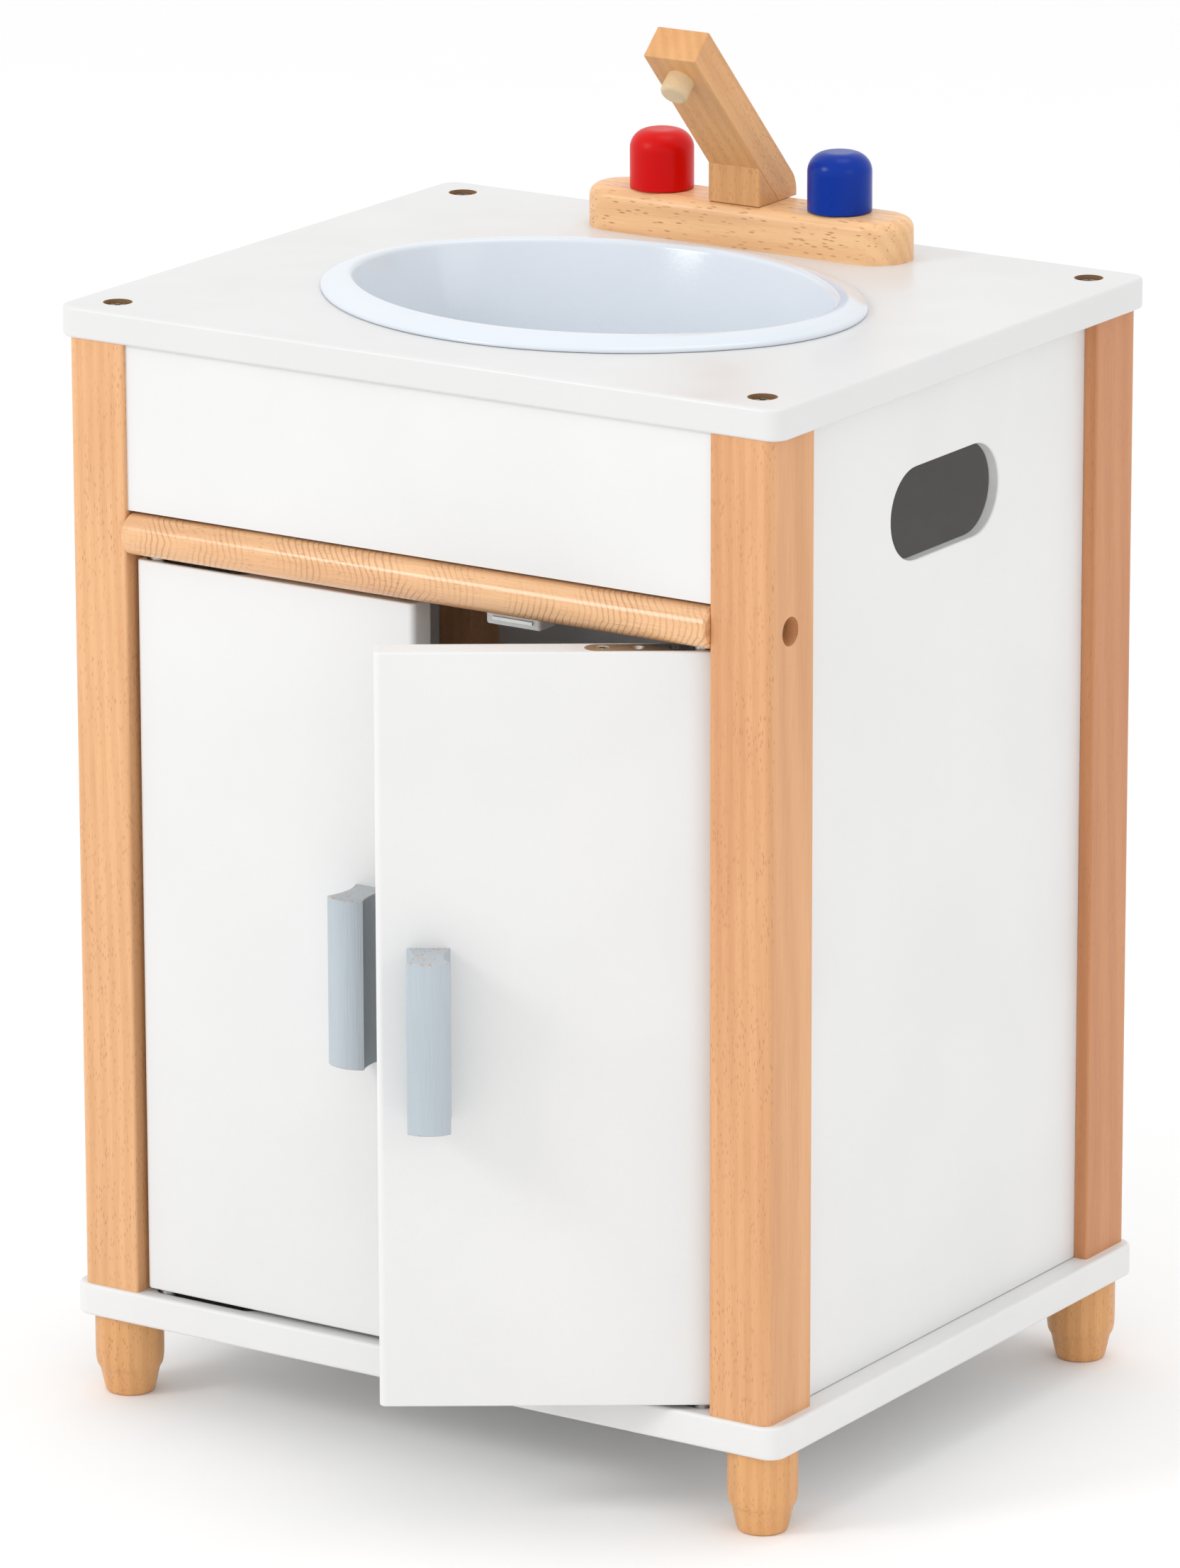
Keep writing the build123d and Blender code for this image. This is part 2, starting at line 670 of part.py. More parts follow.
def hinge_pin(side, edge):
    """A shouldered pin: fixed in the frame, running in the door."""
    frame_z = rail_bottom if edge > 0 else base_top
    door_z = door_top if edge > 0 else door_bottom
    x = side * pivot_x
    held = pin_in_rail if edge > 0 else pin_in_base
    low, high = sorted((frame_z + edge * (held - 0.5), door_z - edge * pin_in_door))
    pin = rod((x, pivot_y, low), (0, 0, 1), pin_radius, high - low)
    pin = chamfer(pin.edges().filter_by(GeomType.CIRCLE), 0.5)
    collar = rod((x, pivot_y, frame_z), (0, 0, -edge), collar_radius, door_end_gap - collar_gap)
    return pin + collar


def door(side):
    free, hinge = side * door_middle_gap / 2, side * (opening_half - door_side_gap)
    part = block(free, hinge, door_front_y, door_back_y, door_bottom, door_top)
    part = fillet(upright_edges(part), door_edge_radius)
    front = part.faces().sort_by(Axis.Y)[0].edges().filter_by(Axis.X)
    part = fillet(front, door_face_radius)
    for edge in (-1, 1):
        z = door_top if edge > 0 else door_bottom
        z0, z1 = sorted((z + edge, z - edge * plate_thickness))
        part -= strip(side, door_plate_length, z0, z1, let_in_fit)
        part -= rod((side * pivot_x, pivot_y, z), (0, 0, -edge), pin_radius + running_fit, pin_in_door + 1)
        part = cut_screws(part, [door_plate_screw(side, reach, edge) for reach in door_plate_screws])
    specs = [handle_screw(side, level) for level in (-1, 1)] + [strike_screw(side)]
    return ajar(cut_screws(part, specs), side)


def handle(side):
    half, waist = handle_width / 2, handle_waist / 2
    neck = handle_projection - handle_crown
    with BuildLine() as line:
        Line((-half, 0), (half, 0))
        ThreePointArc((half, 0), (waist, -neck / 2), (half, -neck))
        ThreePointArc((half, -neck), (0, -handle_projection), (-half, -neck))
        ThreePointArc((-half, -neck), (-waist, -neck / 2), (-half, 0))
    place = Pos(side * handle_x, door_front_y, door_middle_z - handle_length / 2)
    part = extrude(place * make_face(line.edges()), handle_length)
    rims = [e for e in part.faces().filter_by(Axis.Z).edges() if e.center().Y < door_front_y - 1]
    part = fillet(rims, handle_edge_radius)
    return ajar(cut_screws(part, [handle_screw(side, level) for level in (-1, 1)]), side)


# --- catches ---------------------------------------------------------------------------------------
def catch_pole_blank(side, margin):
    x = side * catch_from_middle
    half = catch_pole_width / 2 + margin
    y0 = door_back_y + strike_thickness + strike_gap
    z = strike_centre_z
    thick = catch_pole_thickness / 2 + margin
    return block(x - half, x + half, y0, y0 + catch_pole_length + margin, z - thick, z + thick)


def catch_housing(side):
    x = side * catch_from_middle
    y0 = door_back_y + catch_front_gap
    half, z0 = catch_width / 2, rail_bottom - catch_height
    part = block(x - half, x + half, y0, y0 + catch_depth, z0, rail_bottom)
    part = fillet(upright_edges(part), catch_corner_radius)
    part = fillet(part.faces().sort_by(Axis.Z)[0].edges(), catch_corner_radius * 0.8)
    part -= catch_pole_blank(side, screw_fit)
    return cut_screws(part, [catch_screw(side, place) for place in (-1, 1)])


def strike(side):
    x, z = side * catch_from_middle, strike_centre_z
    half, tall = strike_width / 2, strike_height / 2
    part = block(x - half, x + half, door_back_y, door_back_y + strike_thickness, z - tall, z + tall)
    part = fillet(part.edges().filter_by(Axis.Y), catch_corner_radius)
    return ajar(cut_screws(part, [strike_screw(side)]), side)


# --- the nodes -------------------------------------------------------------------------------------
def build_nodes():
    nodes = {
        "worktop": worktop(),
        "base_panel": base_panel(),
        "back_panel": back_groove(0),
        "front_apron": front_apron(),
        "apron_dowels": apron_dowels(),
        "cross_rail": cross_rail(),
        "sink_bowl": sink_bowl(),
        "tap_base": tap_base(),
        "tap_riser": tap_riser(),
        "tap_spout": tap_spout(),
        "spout_nozzle": spout_nozzle(),
        "spout_pin": dowel_pin(0, spout_pin_radius, spout_pin_above_bar),
        "knob_axles": group([knob_axle(s) for s in (-1, 1)]),
        "hot_knob": knob(-1),
        "cold_knob": knob(1),
        "worktop_screws": screws([worktop_screw(*c) for c in corners]),
        "foot_screws": screws([foot_screw(*c) for c in corners]),
        "tap_base_screws": screws([tap_bar_screw(s) for s in (-1, 1)]),
        "rail_bolts": screws([rail_bolt(s) for s in (-1, 1)]),
        "top_hinge_pins": group([hinge_pin(s, 1) for s in (-1, 1)]),
        "bottom_hinge_pins": group([hinge_pin(s, -1) for s in (-1, 1)]),
        "catch_poles": group([catch_pole_blank(s, 0) for s in (-1, 1)]),
        "catch_screws": screws([catch_screw(s, p) for s in (-1, 1) for p in (-1, 1)]),
        "rail_plate_screws": fixed_plate_screw_set(1),
        "base_plate_screws": fixed_plate_screw_set(-1),
    }
    for sx, sy in corners:
        name = ("front" if sy < 0 else "rear") + ("_left" if sx < 0 else "_right")
        nodes["post_" + name] = post(sx, sy)
        nodes["foot_" + name] = foot(sx, sy)
    for name, side in sides.items():
        nodes[name + "_side_panel"] = side_panel(side)
        nodes[name + "_door"] = door(side)
        nodes[name + "_handle"] = handle(side)
        nodes[name + "_handle_screws"] = screws([handle_screw(side, v) for v in (-1, 1)], side)
        nodes[name + "_catch"] = catch_housing(side)
        nodes[name + "_strike"] = strike(side)
        nodes[name + "_strike_screw"] = ajar(wood_screw(*strike_screw(side)), side)
        for place, edge in (("top", 1), ("bottom", -1)):
            nodes[f"{name}_door_{place}_plate"] = door_plate(side, edge)
            specs = [door_plate_screw(side, reach, edge) for reach in door_plate_screws]
            nodes[f"{name}_door_{place}_plate_screws"] = screws(specs, side)
        nodes[name + "_rail_plate"] = fixed_plate(side, 1)
        nodes[name + "_base_plate"] = fixed_plate(side, -1)
    return nodes


def main():
    os.makedirs("parts", exist_ok=True)
    for name, part in build_nodes().items():
        export_step(part, f"parts/{name}.step")


if __name__ == "__main__":
    main()
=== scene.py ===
"""A toy kitchen sink cabinet: beech frame, white lacquered boards, lift-out bowl and wooden tap."""

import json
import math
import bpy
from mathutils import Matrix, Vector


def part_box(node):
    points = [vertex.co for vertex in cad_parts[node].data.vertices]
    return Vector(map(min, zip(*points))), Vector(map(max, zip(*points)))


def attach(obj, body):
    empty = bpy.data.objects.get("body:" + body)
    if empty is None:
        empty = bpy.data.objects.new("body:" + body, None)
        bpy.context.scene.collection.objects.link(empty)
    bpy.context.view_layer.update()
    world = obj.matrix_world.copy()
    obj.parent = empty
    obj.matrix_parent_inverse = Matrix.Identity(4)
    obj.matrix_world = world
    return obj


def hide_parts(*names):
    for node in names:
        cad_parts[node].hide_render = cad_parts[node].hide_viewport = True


bl_info = {
    "name": "Toy Kitchen",
    "version": (1, 0, 0),
    "blender": (4, 5, 0),
    "location": "3D View > Sidebar > Toy Kitchen",
    "description": "Finishes the toy kitchen's boards, beech frame, bowl, tap, handles and fittings",
    "category": "Object",
}

import bmesh
import bpy
from mathutils import Matrix, Vector

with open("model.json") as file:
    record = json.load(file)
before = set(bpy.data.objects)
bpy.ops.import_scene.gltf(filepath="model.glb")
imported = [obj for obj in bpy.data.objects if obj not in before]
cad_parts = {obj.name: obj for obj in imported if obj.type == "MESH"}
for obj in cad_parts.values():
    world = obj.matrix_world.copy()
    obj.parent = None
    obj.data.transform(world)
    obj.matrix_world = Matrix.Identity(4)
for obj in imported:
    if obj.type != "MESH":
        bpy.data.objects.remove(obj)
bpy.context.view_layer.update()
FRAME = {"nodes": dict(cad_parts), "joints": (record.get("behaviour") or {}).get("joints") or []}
NODES = FRAME["nodes"]
JOINTS = {joint["name"]: joint for joint in FRAME["joints"]}
MM = 0.001
OVAL_STEPS = 192
LARGE_SINK, TAP_SINK, SMALL_SINK = 2.6 * MM, 2.2 * MM, 1.7 * MM     # screw heads below their rims
SCREW_REACH = 11 * MM                                              # half a screw's share of its group
SPOUT_LEAN = math.radians(43.0)

WHITE_BOARDS = ("base_panel", "back_panel", "front_apron", "left_door", "right_door",
                "left_side_panel", "right_side_panel")
UPRIGHTS = {"post_front_left": 1.0, "post_front_right": 0.88, "post_rear_left": 0.85, "post_rear_right": 0.60}
FEET = ("foot_front_left", "foot_front_right", "foot_rear_left", "foot_rear_right")


# --- settings ------------------------------------------------------------------------------------
def colour(name, description, value):
    return bpy.props.FloatVectorProperty(
        name=name, description=description, default=value, size=3, subtype="COLOR", min=0.0, max=1.0)


def length(name, description, value):
    return bpy.props.FloatProperty(
        name=name, description=description, default=value, unit="LENGTH", subtype="DISTANCE", min=0.0)


class BeechSettings(bpy.types.PropertyGroup):
    pale: colour("Early wood", "Lighter tone of the beech", (0.790, 0.440, 0.215))
    deep: colour("Late wood", "Deeper tone of the beech", (0.640, 0.318, 0.142))
    fleck: colour("Flecks", "Tone of the short ray flecks", (0.430, 0.180, 0.075))
    turned_pale: colour("Turned wood, light", "Lighter tone of feet and tap", (0.750, 0.395, 0.160))
    turned_deep: colour("Turned wood, deep", "Deeper tone of feet and tap", (0.600, 0.285, 0.105))
    birch: colour("Birch", "Pale peg wood", (0.760, 0.560, 0.330))
    fleck_length: length("Fleck length", "Length of a ray fleck along the grain", 0.0042)
    fleck_width: length("Fleck width", "Width of a ray fleck", 0.0009)


class PaintSettings(bpy.types.PropertyGroup):
    white: colour("White lacquer", "Satin white of the boards", (0.775, 0.775, 0.772))
    bowl: colour("Bowl", "Ice-blue plastic of the bowl", (0.700, 0.745, 0.800))
    red: colour("Red knob", "Gloss red paint", (0.640, 0.0, 0.0))
    blue: colour("Blue knob", "Gloss blue paint", (0.0, 0.030, 0.310))
    handle: colour("Handles", "Blue-grey paint of the handles", (0.460, 0.520, 0.565))
    raw_board: colour("Raw board", "Cut edge of fibre board", (0.240, 0.135, 0.060))
    zinc: colour("Zinc", "Zinc-plated steel", (0.610, 0.610, 0.590))
    catch: colour("Catch", "White plastic of the magnetic catch", (0.780, 0.800, 0.830))


class BowlSettings(bpy.types.PropertyGroup):
    rim_width: length("Rim width", "From the rim's outer edge to the mouth", 0.018)
    rim_height: length("Rim height", "Crest of the rim above the worktop", 0.006)
    wall: length("Wall", "Thickness of the bowl's wall", 0.0025)
    draft: length("Draft", "How far the wall leans in from mouth to floor", 0.020)
    floor_radius: length("Floor radius", "Rounding between wall and floor", 0.018)
    end_radius: length("End radius", "Outer radius of the oval's ends", 0.085)
    end_share: bpy.props.FloatProperty(
        name="End share", description="Rim width at the bowl's ends, in rim widths", default=0.83)
    side_share: bpy.props.FloatProperty(
        name="Side share", description="Rim width at the bowl's front and back, in rim widths", default=1.1)


class ScrewSettings(bpy.types.PropertyGroup):
    recess: bpy.props.FloatProperty(
        name="Recess size", description="Cross recess as a share of the head", default=0.62,
        subtype="FACTOR", min=0.1, max=0.9)
    dome: length("Dome", "Crown of a large screw head", 0.0007)
    small_dome: length("Small dome", "Crown of a small screw head", 0.0003)
    bore: length("Bore radius", "Radius of the counterbores in the worktop", 0.0066)
    top_radius: length("Worktop screw", "Head radius of a worktop screw", 0.0052)
    top_lift: length("Worktop screw lift", "Worktop screw heads above the bores' floor", 0.0013)
    foot_radius: length("Foot screw", "Head radius of a foot screw", 0.0046)
    tap_radius: length("Tap screw", "Head radius of a screw under the tap", 0.0040)
    edge_radius: length("Door plate screw", "Head radius of a door plate screw", 0.0031)
    plate_radius: length("Plate screw", "Head radius of the other small screws", 0.0030)


class StageSettings(bpy.types.PropertyGroup):
    azimuth: bpy.props.FloatProperty(
        name="Azimuth", description="Camera's turn to the right of the front",
        default=math.radians(33.24), unit="ROTATION", subtype="ANGLE")
    elevation: bpy.props.FloatProperty(
        name="Elevation", description="Camera's height angle", default=math.radians(15.67),
        unit="ROTATION", subtype="ANGLE")
    roll: bpy.props.FloatProperty(
        name="Roll", description="Camera's tilt about its axis", default=math.radians(0.14),
        unit="ROTATION", subtype="ANGLE")
    distance: length("Distance", "Camera to the point it looks at", 4.5)
    target: bpy.props.FloatVectorProperty(
        name="Target", description="Point the camera looks at", default=(0.0217, -0.0476, 0.311),
        size=3, unit="LENGTH", subtype="TRANSLATION")
    lens: bpy.props.FloatProperty(
        name="Lens", description="Focal length in millimetres", default=219.0, unit="CAMERA")
    floor_size: length("Floor size", "Edge of the floor sheet", 60.0)


# --- node helpers ----------------------------------------------------------------------------------
class Tree:
    """Short calls for building a node tree."""

    def __init__(self, tree):
        self.tree = tree

    def node(self, kind, settings=None, **inputs):
        made = self.tree.nodes.new(kind)
        for key, value in (settings or {}).items():
            setattr(made, key, value)
        for key, value in inputs.items():
            self.feed(made.inputs[key.replace("_", " ")], value)
        return made

    def feed(self, socket, value):
        if isinstance(value, bpy.types.NodeSocket):
            self.tree.links.new(value, socket)
        else:
            socket.default_value = value

    def math(self, operation, *values, clamp=False):
        made = self.tree.nodes.new("ShaderNodeMath")
        made.operation = operation
        made.use_clamp = clamp
        for socket, value in zip(made.inputs, values):
            self.feed(socket, value)
        return made.outputs[0]

    def scale(self, vector, factors):
        made = self.tree.nodes.new("ShaderNodeVectorMath")
        made.operation = "MULTIPLY"
        self.feed(made.inputs[0], vector)
        self.feed(made.inputs[1], factors)
        return made.outputs[0]

    def ramp(self, value, low, high, to_low=0.0, to_high=1.0):
        made = self.node("ShaderNodeMapRange", {"interpolation_type": "SMOOTHSTEP"})
        for key, item in (("Value", value), ("From Min", low), ("From Max", high),
                          ("To Min", to_low), ("To Max", to_high)):
            self.feed(made.inputs[key], item)
        return made.outputs["Result"]

    def mix(self, factor, a, b):
        made = self.node("ShaderNodeMix", {"data_type": "RGBA"})
        self.feed(made.inputs[0], factor)
        self.feed(made.inputs[6], a)
        self.feed(made.inputs[7], b)
        return made.outputs[2]

    def noise(self, vector, scale, detail=2.0, roughness=0.5):
        made = self.node("ShaderNodeTexNoise", Vector=vector, Scale=scale, Detail=detail, Roughness=roughness)
        return made.outputs["Fac"]


def rgba(value):
    return (*value, 1.0)


def new_group(name, inputs, outputs):
    """A shader node group with named sockets, and helpers for filling it."""
    group = bpy.data.node_groups.new(name, "ShaderNodeTree")
    for label, kind, value in inputs:
        socket = group.interface.new_socket(label, in_out="INPUT", socket_type=kind)
        if value is not None:
            socket.default_value = value
    for label, kind in outputs:
        group.interface.new_socket(label, in_out="OUTPUT", socket_type=kind)
    tree = Tree(group)
    entry = tree.node("NodeGroupInput")
    leave = tree.node("NodeGroupOutput")
    return tree, entry.outputs, leave.inputs


def once(maker):
    """Builds a group or material the first time, and finds it again by name."""
    def find(*args, **kwargs):
        made = maker.__name__, args, tuple(sorted(kwargs.items()))
        if made not in find.made:
            find.made[made] = maker(*args, **kwargs)
        return find.made[made]
    find.made = {}
    return find


# --- shared surface effects ------------------------------------------------------------------------
@once
def wood_figure():
    """Grain along Z: broad tone, fine fibre and short ray flecks."""
    tree, given, out = new_group("Wood Figure", [
        ("Vector", "NodeSocketVector", None),
        ("Pale", "NodeSocketColor", (0.8, 0.5, 0.3, 1)),
        ("Deep", "NodeSocketColor", (0.6, 0.3, 0.2, 1)),
        ("Fleck", "NodeSocketColor", (0.4, 0.2, 0.1, 1)),
        ("Fleck Amount", "NodeSocketFloat", 0.7),
        ("Fleck Length", "NodeSocketFloat", 0.004),
        ("Fleck Width", "NodeSocketFloat", 0.001),
        ("Ring Contrast", "NodeSocketFloat", 0.35),
    ], [("Colour", "NodeSocketColor"), ("Roughness", "NodeSocketFloat"), ("Height", "NodeSocketFloat")])
    vector = given["Vector"]
    broad = tree.noise(tree.scale(vector, (1, 1, 0.10)), 38.0, 3.0)
    bend = tree.noise(tree.scale(vector, (1, 1, 0.18)), 9.0, 1.0)
    split = tree.node("ShaderNodeSeparateXYZ", Vector=vector)
    across = tree.math("ADD", split.outputs["X"], tree.math("MULTIPLY", split.outputs["Y"], 0.45))
    ring_place = tree.math("ADD", tree.math("MULTIPLY", across, 900.0), tree.math("MULTIPLY", bend, 26.0))
    rings = tree.ramp(tree.math("SINE", ring_place), -1.0, 1.0)
    fibre = tree.noise(tree.scale(vector, (1, 1, 0.025)), 1500.0, 2.0, 0.6)
    cell_size = tree.node("ShaderNodeCombineXYZ", X=given["Fleck Width"], Y=given["Fleck Width"],
                          Z=given["Fleck Length"])
    cells = tree.node("ShaderNodeVectorMath", {"operation": "DIVIDE"})
    tree.feed(cells.inputs[0], vector)
    tree.feed(cells.inputs[1], cell_size.outputs[0])
    voronoi = tree.node("ShaderNodeTexVoronoi", {"feature": "F1"}, Vector=cells.outputs[0], Scale=1.0)
    chance = tree.node("ShaderNodeSeparateXYZ", Vector=voronoi.outputs["Color"])
    near = tree.ramp(voronoi.outputs["Distance"], 0.40, 0.14)
    patches = tree.ramp(tree.noise(tree.scale(vector, (1, 1, 0.4)), 45.0, 1.0), 0.35, 0.62, 0.35, 1.0)
    some = tree.ramp(chance.outputs["X"], 0.42, 0.58)
    flecks = tree.math("MULTIPLY", tree.math("MULTIPLY", near, some), patches)
    tone = tree.math("ADD", tree.math("MULTIPLY", tree.ramp(broad, 0.3, 0.7), 0.5),
                     tree.math("MULTIPLY", rings, given["Ring Contrast"]))
    tone = tree.math("ADD", tone, tree.math("MULTIPLY", tree.math("SUBTRACT", fibre, 0.5), 0.9), clamp=True)
    wood = tree.mix(tone, given["Pale"], given["Deep"])
    marks = tree.math("MULTIPLY", flecks, given["Fleck Amount"])
    tree.feed(out["Colour"], tree.mix(marks, wood, given["Fleck"]))
    tree.feed(out["Roughness"], tree.ramp(fibre, 0.2, 0.8, 0.34, 0.48))
    height = tree.math("SUBTRACT", tree.math("MULTIPLY", fibre, 0.6), tree.math("MULTIPLY", flecks, 0.35))
    tree.feed(out["Height"], height)
    return tree.tree


@once
def arched_figure():
    """Lens-shaped arches across a rounded face, where the ray flecks are cut end on."""
    tree, given, out = new_group("Arched Figure", [
        ("Vector", "NodeSocketVector", None),
        ("Pitch", "NodeSocketFloat", 0.006),
        ("Spread", "NodeSocketFloat", 0.010),
    ], [("Mask", "NodeSocketFloat")])
    split = tree.node("ShaderNodeSeparateXYZ", Vector=given["Vector"])
    off = tree.math("DIVIDE", split.outputs["Y"], given["Spread"])
    bend = tree.math("MULTIPLY", off, off)
    sway = tree.noise(tree.scale(given["Vector"], (1, 1, 0.5)), 60.0, 2.0)
    along = tree.math("DIVIDE", split.outputs["Z"], given["Pitch"])
    phase = tree.math("ADD", tree.math("ADD", along, tree.math("MULTIPLY", bend, 1.2)),
                      tree.math("MULTIPLY", sway, 2.6))
    wave = tree.math("SINE", tree.math("MULTIPLY", phase, 2 * math.pi))
    patch = tree.ramp(tree.noise(given["Vector"], 30.0, 1.0), 0.35, 0.60)
    tree.feed(out["Mask"], tree.math("MULTIPLY", tree.ramp(wave, 0.55, 0.98), patch))
    return tree.tree


@once
def lacquer_skin():
    """Sprayed paint: a faint mottle, orange peel and rubbed patches."""
    tree, given, out = new_group("Lacquer Skin", [
        ("Vector", "NodeSocketVector", None),
        ("Base", "NodeSocketColor", (0.9, 0.9, 0.9, 1)),
        ("Shade", "NodeSocketColor", (0.8, 0.8, 0.8, 1)),
        ("Mottle", "NodeSocketFloat", 0.3),
        ("Peel Scale", "NodeSocketFloat", 900.0),
        ("Gloss", "NodeSocketFloat", 0.3),
    ], [("Colour", "NodeSocketColor"), ("Roughness", "NodeSocketFloat"), ("Height", "NodeSocketFloat")])
    vector = given["Vector"]
    cloud = tree.ramp(tree.noise(vector, 11.0, 3.0), 0.35, 0.70)
    speck = tree.ramp(tree.noise(vector, 420.0, 1.0), 0.70, 0.80, 0.0, 0.5)
    amount = tree.math("MULTIPLY", tree.math("ADD", cloud, speck), given["Mottle"], clamp=True)
    tree.feed(out["Colour"], tree.mix(amount, given["Base"], given["Shade"]))
    rub = tree.ramp(tree.noise(vector, 24.0, 4.0), 0.3, 0.7, -0.05, 0.09)
    tree.feed(out["Roughness"], tree.math("ADD", given["Gloss"], rub, clamp=True))
    peel = tree.node("ShaderNodeTexNoise", Vector=vector, Scale=given["Peel Scale"], Detail=2.0)
    tree.feed(out["Height"], peel.outputs["Fac"])
    return tree.tree


# --- materials ---------------------------------------------------------------------------------------
def new_material(name, **plain):
    material = bpy.data.materials.new(name)
    material.use_nodes = True
    tree = Tree(material.node_tree)
    shader = material.node_tree.nodes["Principled BSDF"]
    for key, value in plain.items():
        shader.inputs[key.replace("_", " ")].default_value = value
    place = tree.node("ShaderNodeTexCoord").outputs["Object"]
    return material, tree, shader, place


def use_group(tree, group, **inputs):
    made = tree.node("ShaderNodeGroup", {"node_tree": group})
    for key, value in inputs.items():
        tree.feed(made.inputs[key.replace("_", " ")], value)
    return made.outputs


def bump(tree, shader, height, distance, strength=1.0):
    made = tree.node("ShaderNodeBump", Height=height, Distance=distance, Strength=strength)
    tree.feed(shader.inputs["Normal"], made.outputs["Normal"])


def grain_along(tree, place, axis, turn=(0.0, 0.0, 0.0), shift=(0.0, 0.0, 0.0)):
    """Turns the object's coordinates so that the grain runs along their Z."""
    mapped = tree.node("ShaderNodeMapping", Vector=place, Rotation=turn, Location=shift)
    split = tree.node("ShaderNodeSeparateXYZ", Vector=mapped.outputs[0])
    order = {"Z": "XYZ", "X": "YZX", "Y": "ZXY"}[axis]
    joined = tree.node("ShaderNodeCombineXYZ")
    for socket, letter in zip(joined.inputs, order):
        tree.feed(socket, split.outputs[letter])
    return joined.outputs[0]


@once
def beech(name, axis, pale, deep, fleck_amount=0.7, fleck_scale=1.0, rings=0.35,
          turn=(0, 0, 0), shift=(0, 0, 0)):
    """Clear-lacquered wood whose grain runs along axis."""
    settings = bpy.context.scene.toy_beech
    material, tree, shader, place = new_material(name, Coat_Weight=0.15, Coat_Roughness=0.16,
                                                 Specular_IOR_Level=0.35)
    wood = use_group(tree, wood_figure(), Vector=grain_along(tree, place, axis, turn, shift), Pale=rgba(pale),
                     Deep=rgba(deep), Fleck=rgba(settings.fleck), Fleck_Amount=fleck_amount,
                     Fleck_Length=settings.fleck_length * fleck_scale,
                     Fleck_Width=settings.fleck_width * fleck_scale, Ring_Contrast=rings)
    tree.feed(shader.inputs["Base Color"], wood["Colour"])
    tree.feed(shader.inputs["Roughness"], wood["Roughness"])
    bump(tree, shader, wood["Height"], 0.00018)
    return material


@once
def rail_beech(middle):
    """The rail's glossier beech, with arched flecks about its rounded front."""
    settings = bpy.context.scene.toy_beech
    pale, deep = toned(tuple(settings.pale), 1.16), toned(tuple(settings.deep), 1.12)
    material, tree, shader, place = new_material("Beech Rail", Coat_Weight=0.6, Coat_Roughness=0.12,
                                                 Specular_IOR_Level=0.4)
    along = grain_along(tree, place, "X", shift=(0.0, -middle[0], -middle[1]))
    wood = use_group(tree, wood_figure(), Vector=along, Pale=rgba(pale), Deep=rgba(deep),
                     Fleck=rgba(settings.fleck), Fleck_Amount=0.5, Fleck_Length=settings.fleck_length,
                     Fleck_Width=settings.fleck_width, Ring_Contrast=0.3)
    split = tree.node("ShaderNodeSeparateXYZ", Vector=place)
    turned = tree.node("ShaderNodeCombineXYZ", Z=split.outputs["X"],
                       Y=tree.math("SUBTRACT", split.outputs["Z"], middle[1]))
    arches = use_group(tree, arched_figure(), Vector=turned.outputs[0], Pitch=0.0034, Spread=0.007)
    mask = tree.math("MULTIPLY", arches["Mask"], 0.42)
    tree.feed(shader.inputs["Base Color"], tree.mix(mask, wood["Colour"], rgba(settings.fleck)))
    tree.feed(shader.inputs["Roughness"], wood["Roughness"])
    bump(tree, shader, tree.math("SUBTRACT", wood["Height"], arches["Mask"]), 0.00022)
    return material


@once
def painted(name, base, shade, gloss, mottle, peel, peel_depth, specular=0.5):
    material, tree, shader, place = new_material(name, Specular_IOR_Level=specular)
    skin = use_group(tree, lacquer_skin(), Vector=place, Base=rgba(base), Shade=rgba(shade),
                     Mottle=mottle, Peel_Scale=peel, Gloss=gloss)
    tree.feed(shader.inputs["Base Color"], skin["Colour"])
    tree.feed(shader.inputs["Roughness"], skin["Roughness"])
    bump(tree, shader, skin["Height"], peel_depth)
    return material


def toned(value, tone):
    """The same wood redder and darker below 1, paler above it."""
    return tuple(part * tone ** power for part, power in zip(value, (0.55, 1.0, 1.25)))


def dimmed(value, share):
    return tuple(part * share for part in value)


def white_lacquer():
    white = tuple(bpy.context.scene.toy_paint.white)
    return painted("White Lacquer", white, dimmed(white, 0.93), 0.36, 0.35, 1100.0, 0.00006)


def near_circle(tree, place, centre, radius, margin=0.0004):
    """A mask inside an upright cylinder mirrored to all four corners."""
    split = tree.node("ShaderNodeSeparateXYZ", Vector=place)
    dx = tree.math("SUBTRACT", tree.math("ABSOLUTE", split.outputs["X"]), centre[0])
    dy = tree.math("SUBTRACT", tree.math("ABSOLUTE", split.outputs["Y"]), centre[1])
    away = tree.math("SQRT", tree.math("ADD", tree.math("MULTIPLY", dx, dx), tree.math("MULTIPLY", dy, dy)))
    return tree.math("LESS_THAN", away, radius + margin)


@once
def worktop_lacquer(centre, radius):
    """White lacquer dimmed as painted shade on the top face, with raw fibre board showing inside the
    counterbores.
    """
    paint = bpy.context.scene.toy_paint
    # painted shade: the boards' white dimmed to 0.92, so the top face renders no brighter than the doors
    white = dimmed(tuple(paint.white), 0.92)
    material, tree, shader, place = new_material("Worktop Lacquer")
    skin = use_group(tree, lacquer_skin(), Vector=place, Base=rgba(white), Shade=rgba(dimmed(white, 0.94)),
                     Mottle=0.3, Peel_Scale=1100.0, Gloss=0.33)
    bore = near_circle(tree, place, centre, radius)
    fuzz = tree.noise(place, 1600.0, 3.0)
    raw = tree.mix(fuzz, rgba(dimmed(tuple(paint.raw_board), 0.6)), rgba(dimmed(tuple(paint.raw_board), 1.5)))
    tree.feed(shader.inputs["Base Color"], tree.mix(bore, skin["Colour"], raw))
    rough = tree.math("MAXIMUM", skin["Roughness"], tree.math("MULTIPLY", bore, 0.85))
    tree.feed(shader.inputs["Roughness"], rough)
    bump(tree, shader, skin["Height"], 0.00006)
    return material


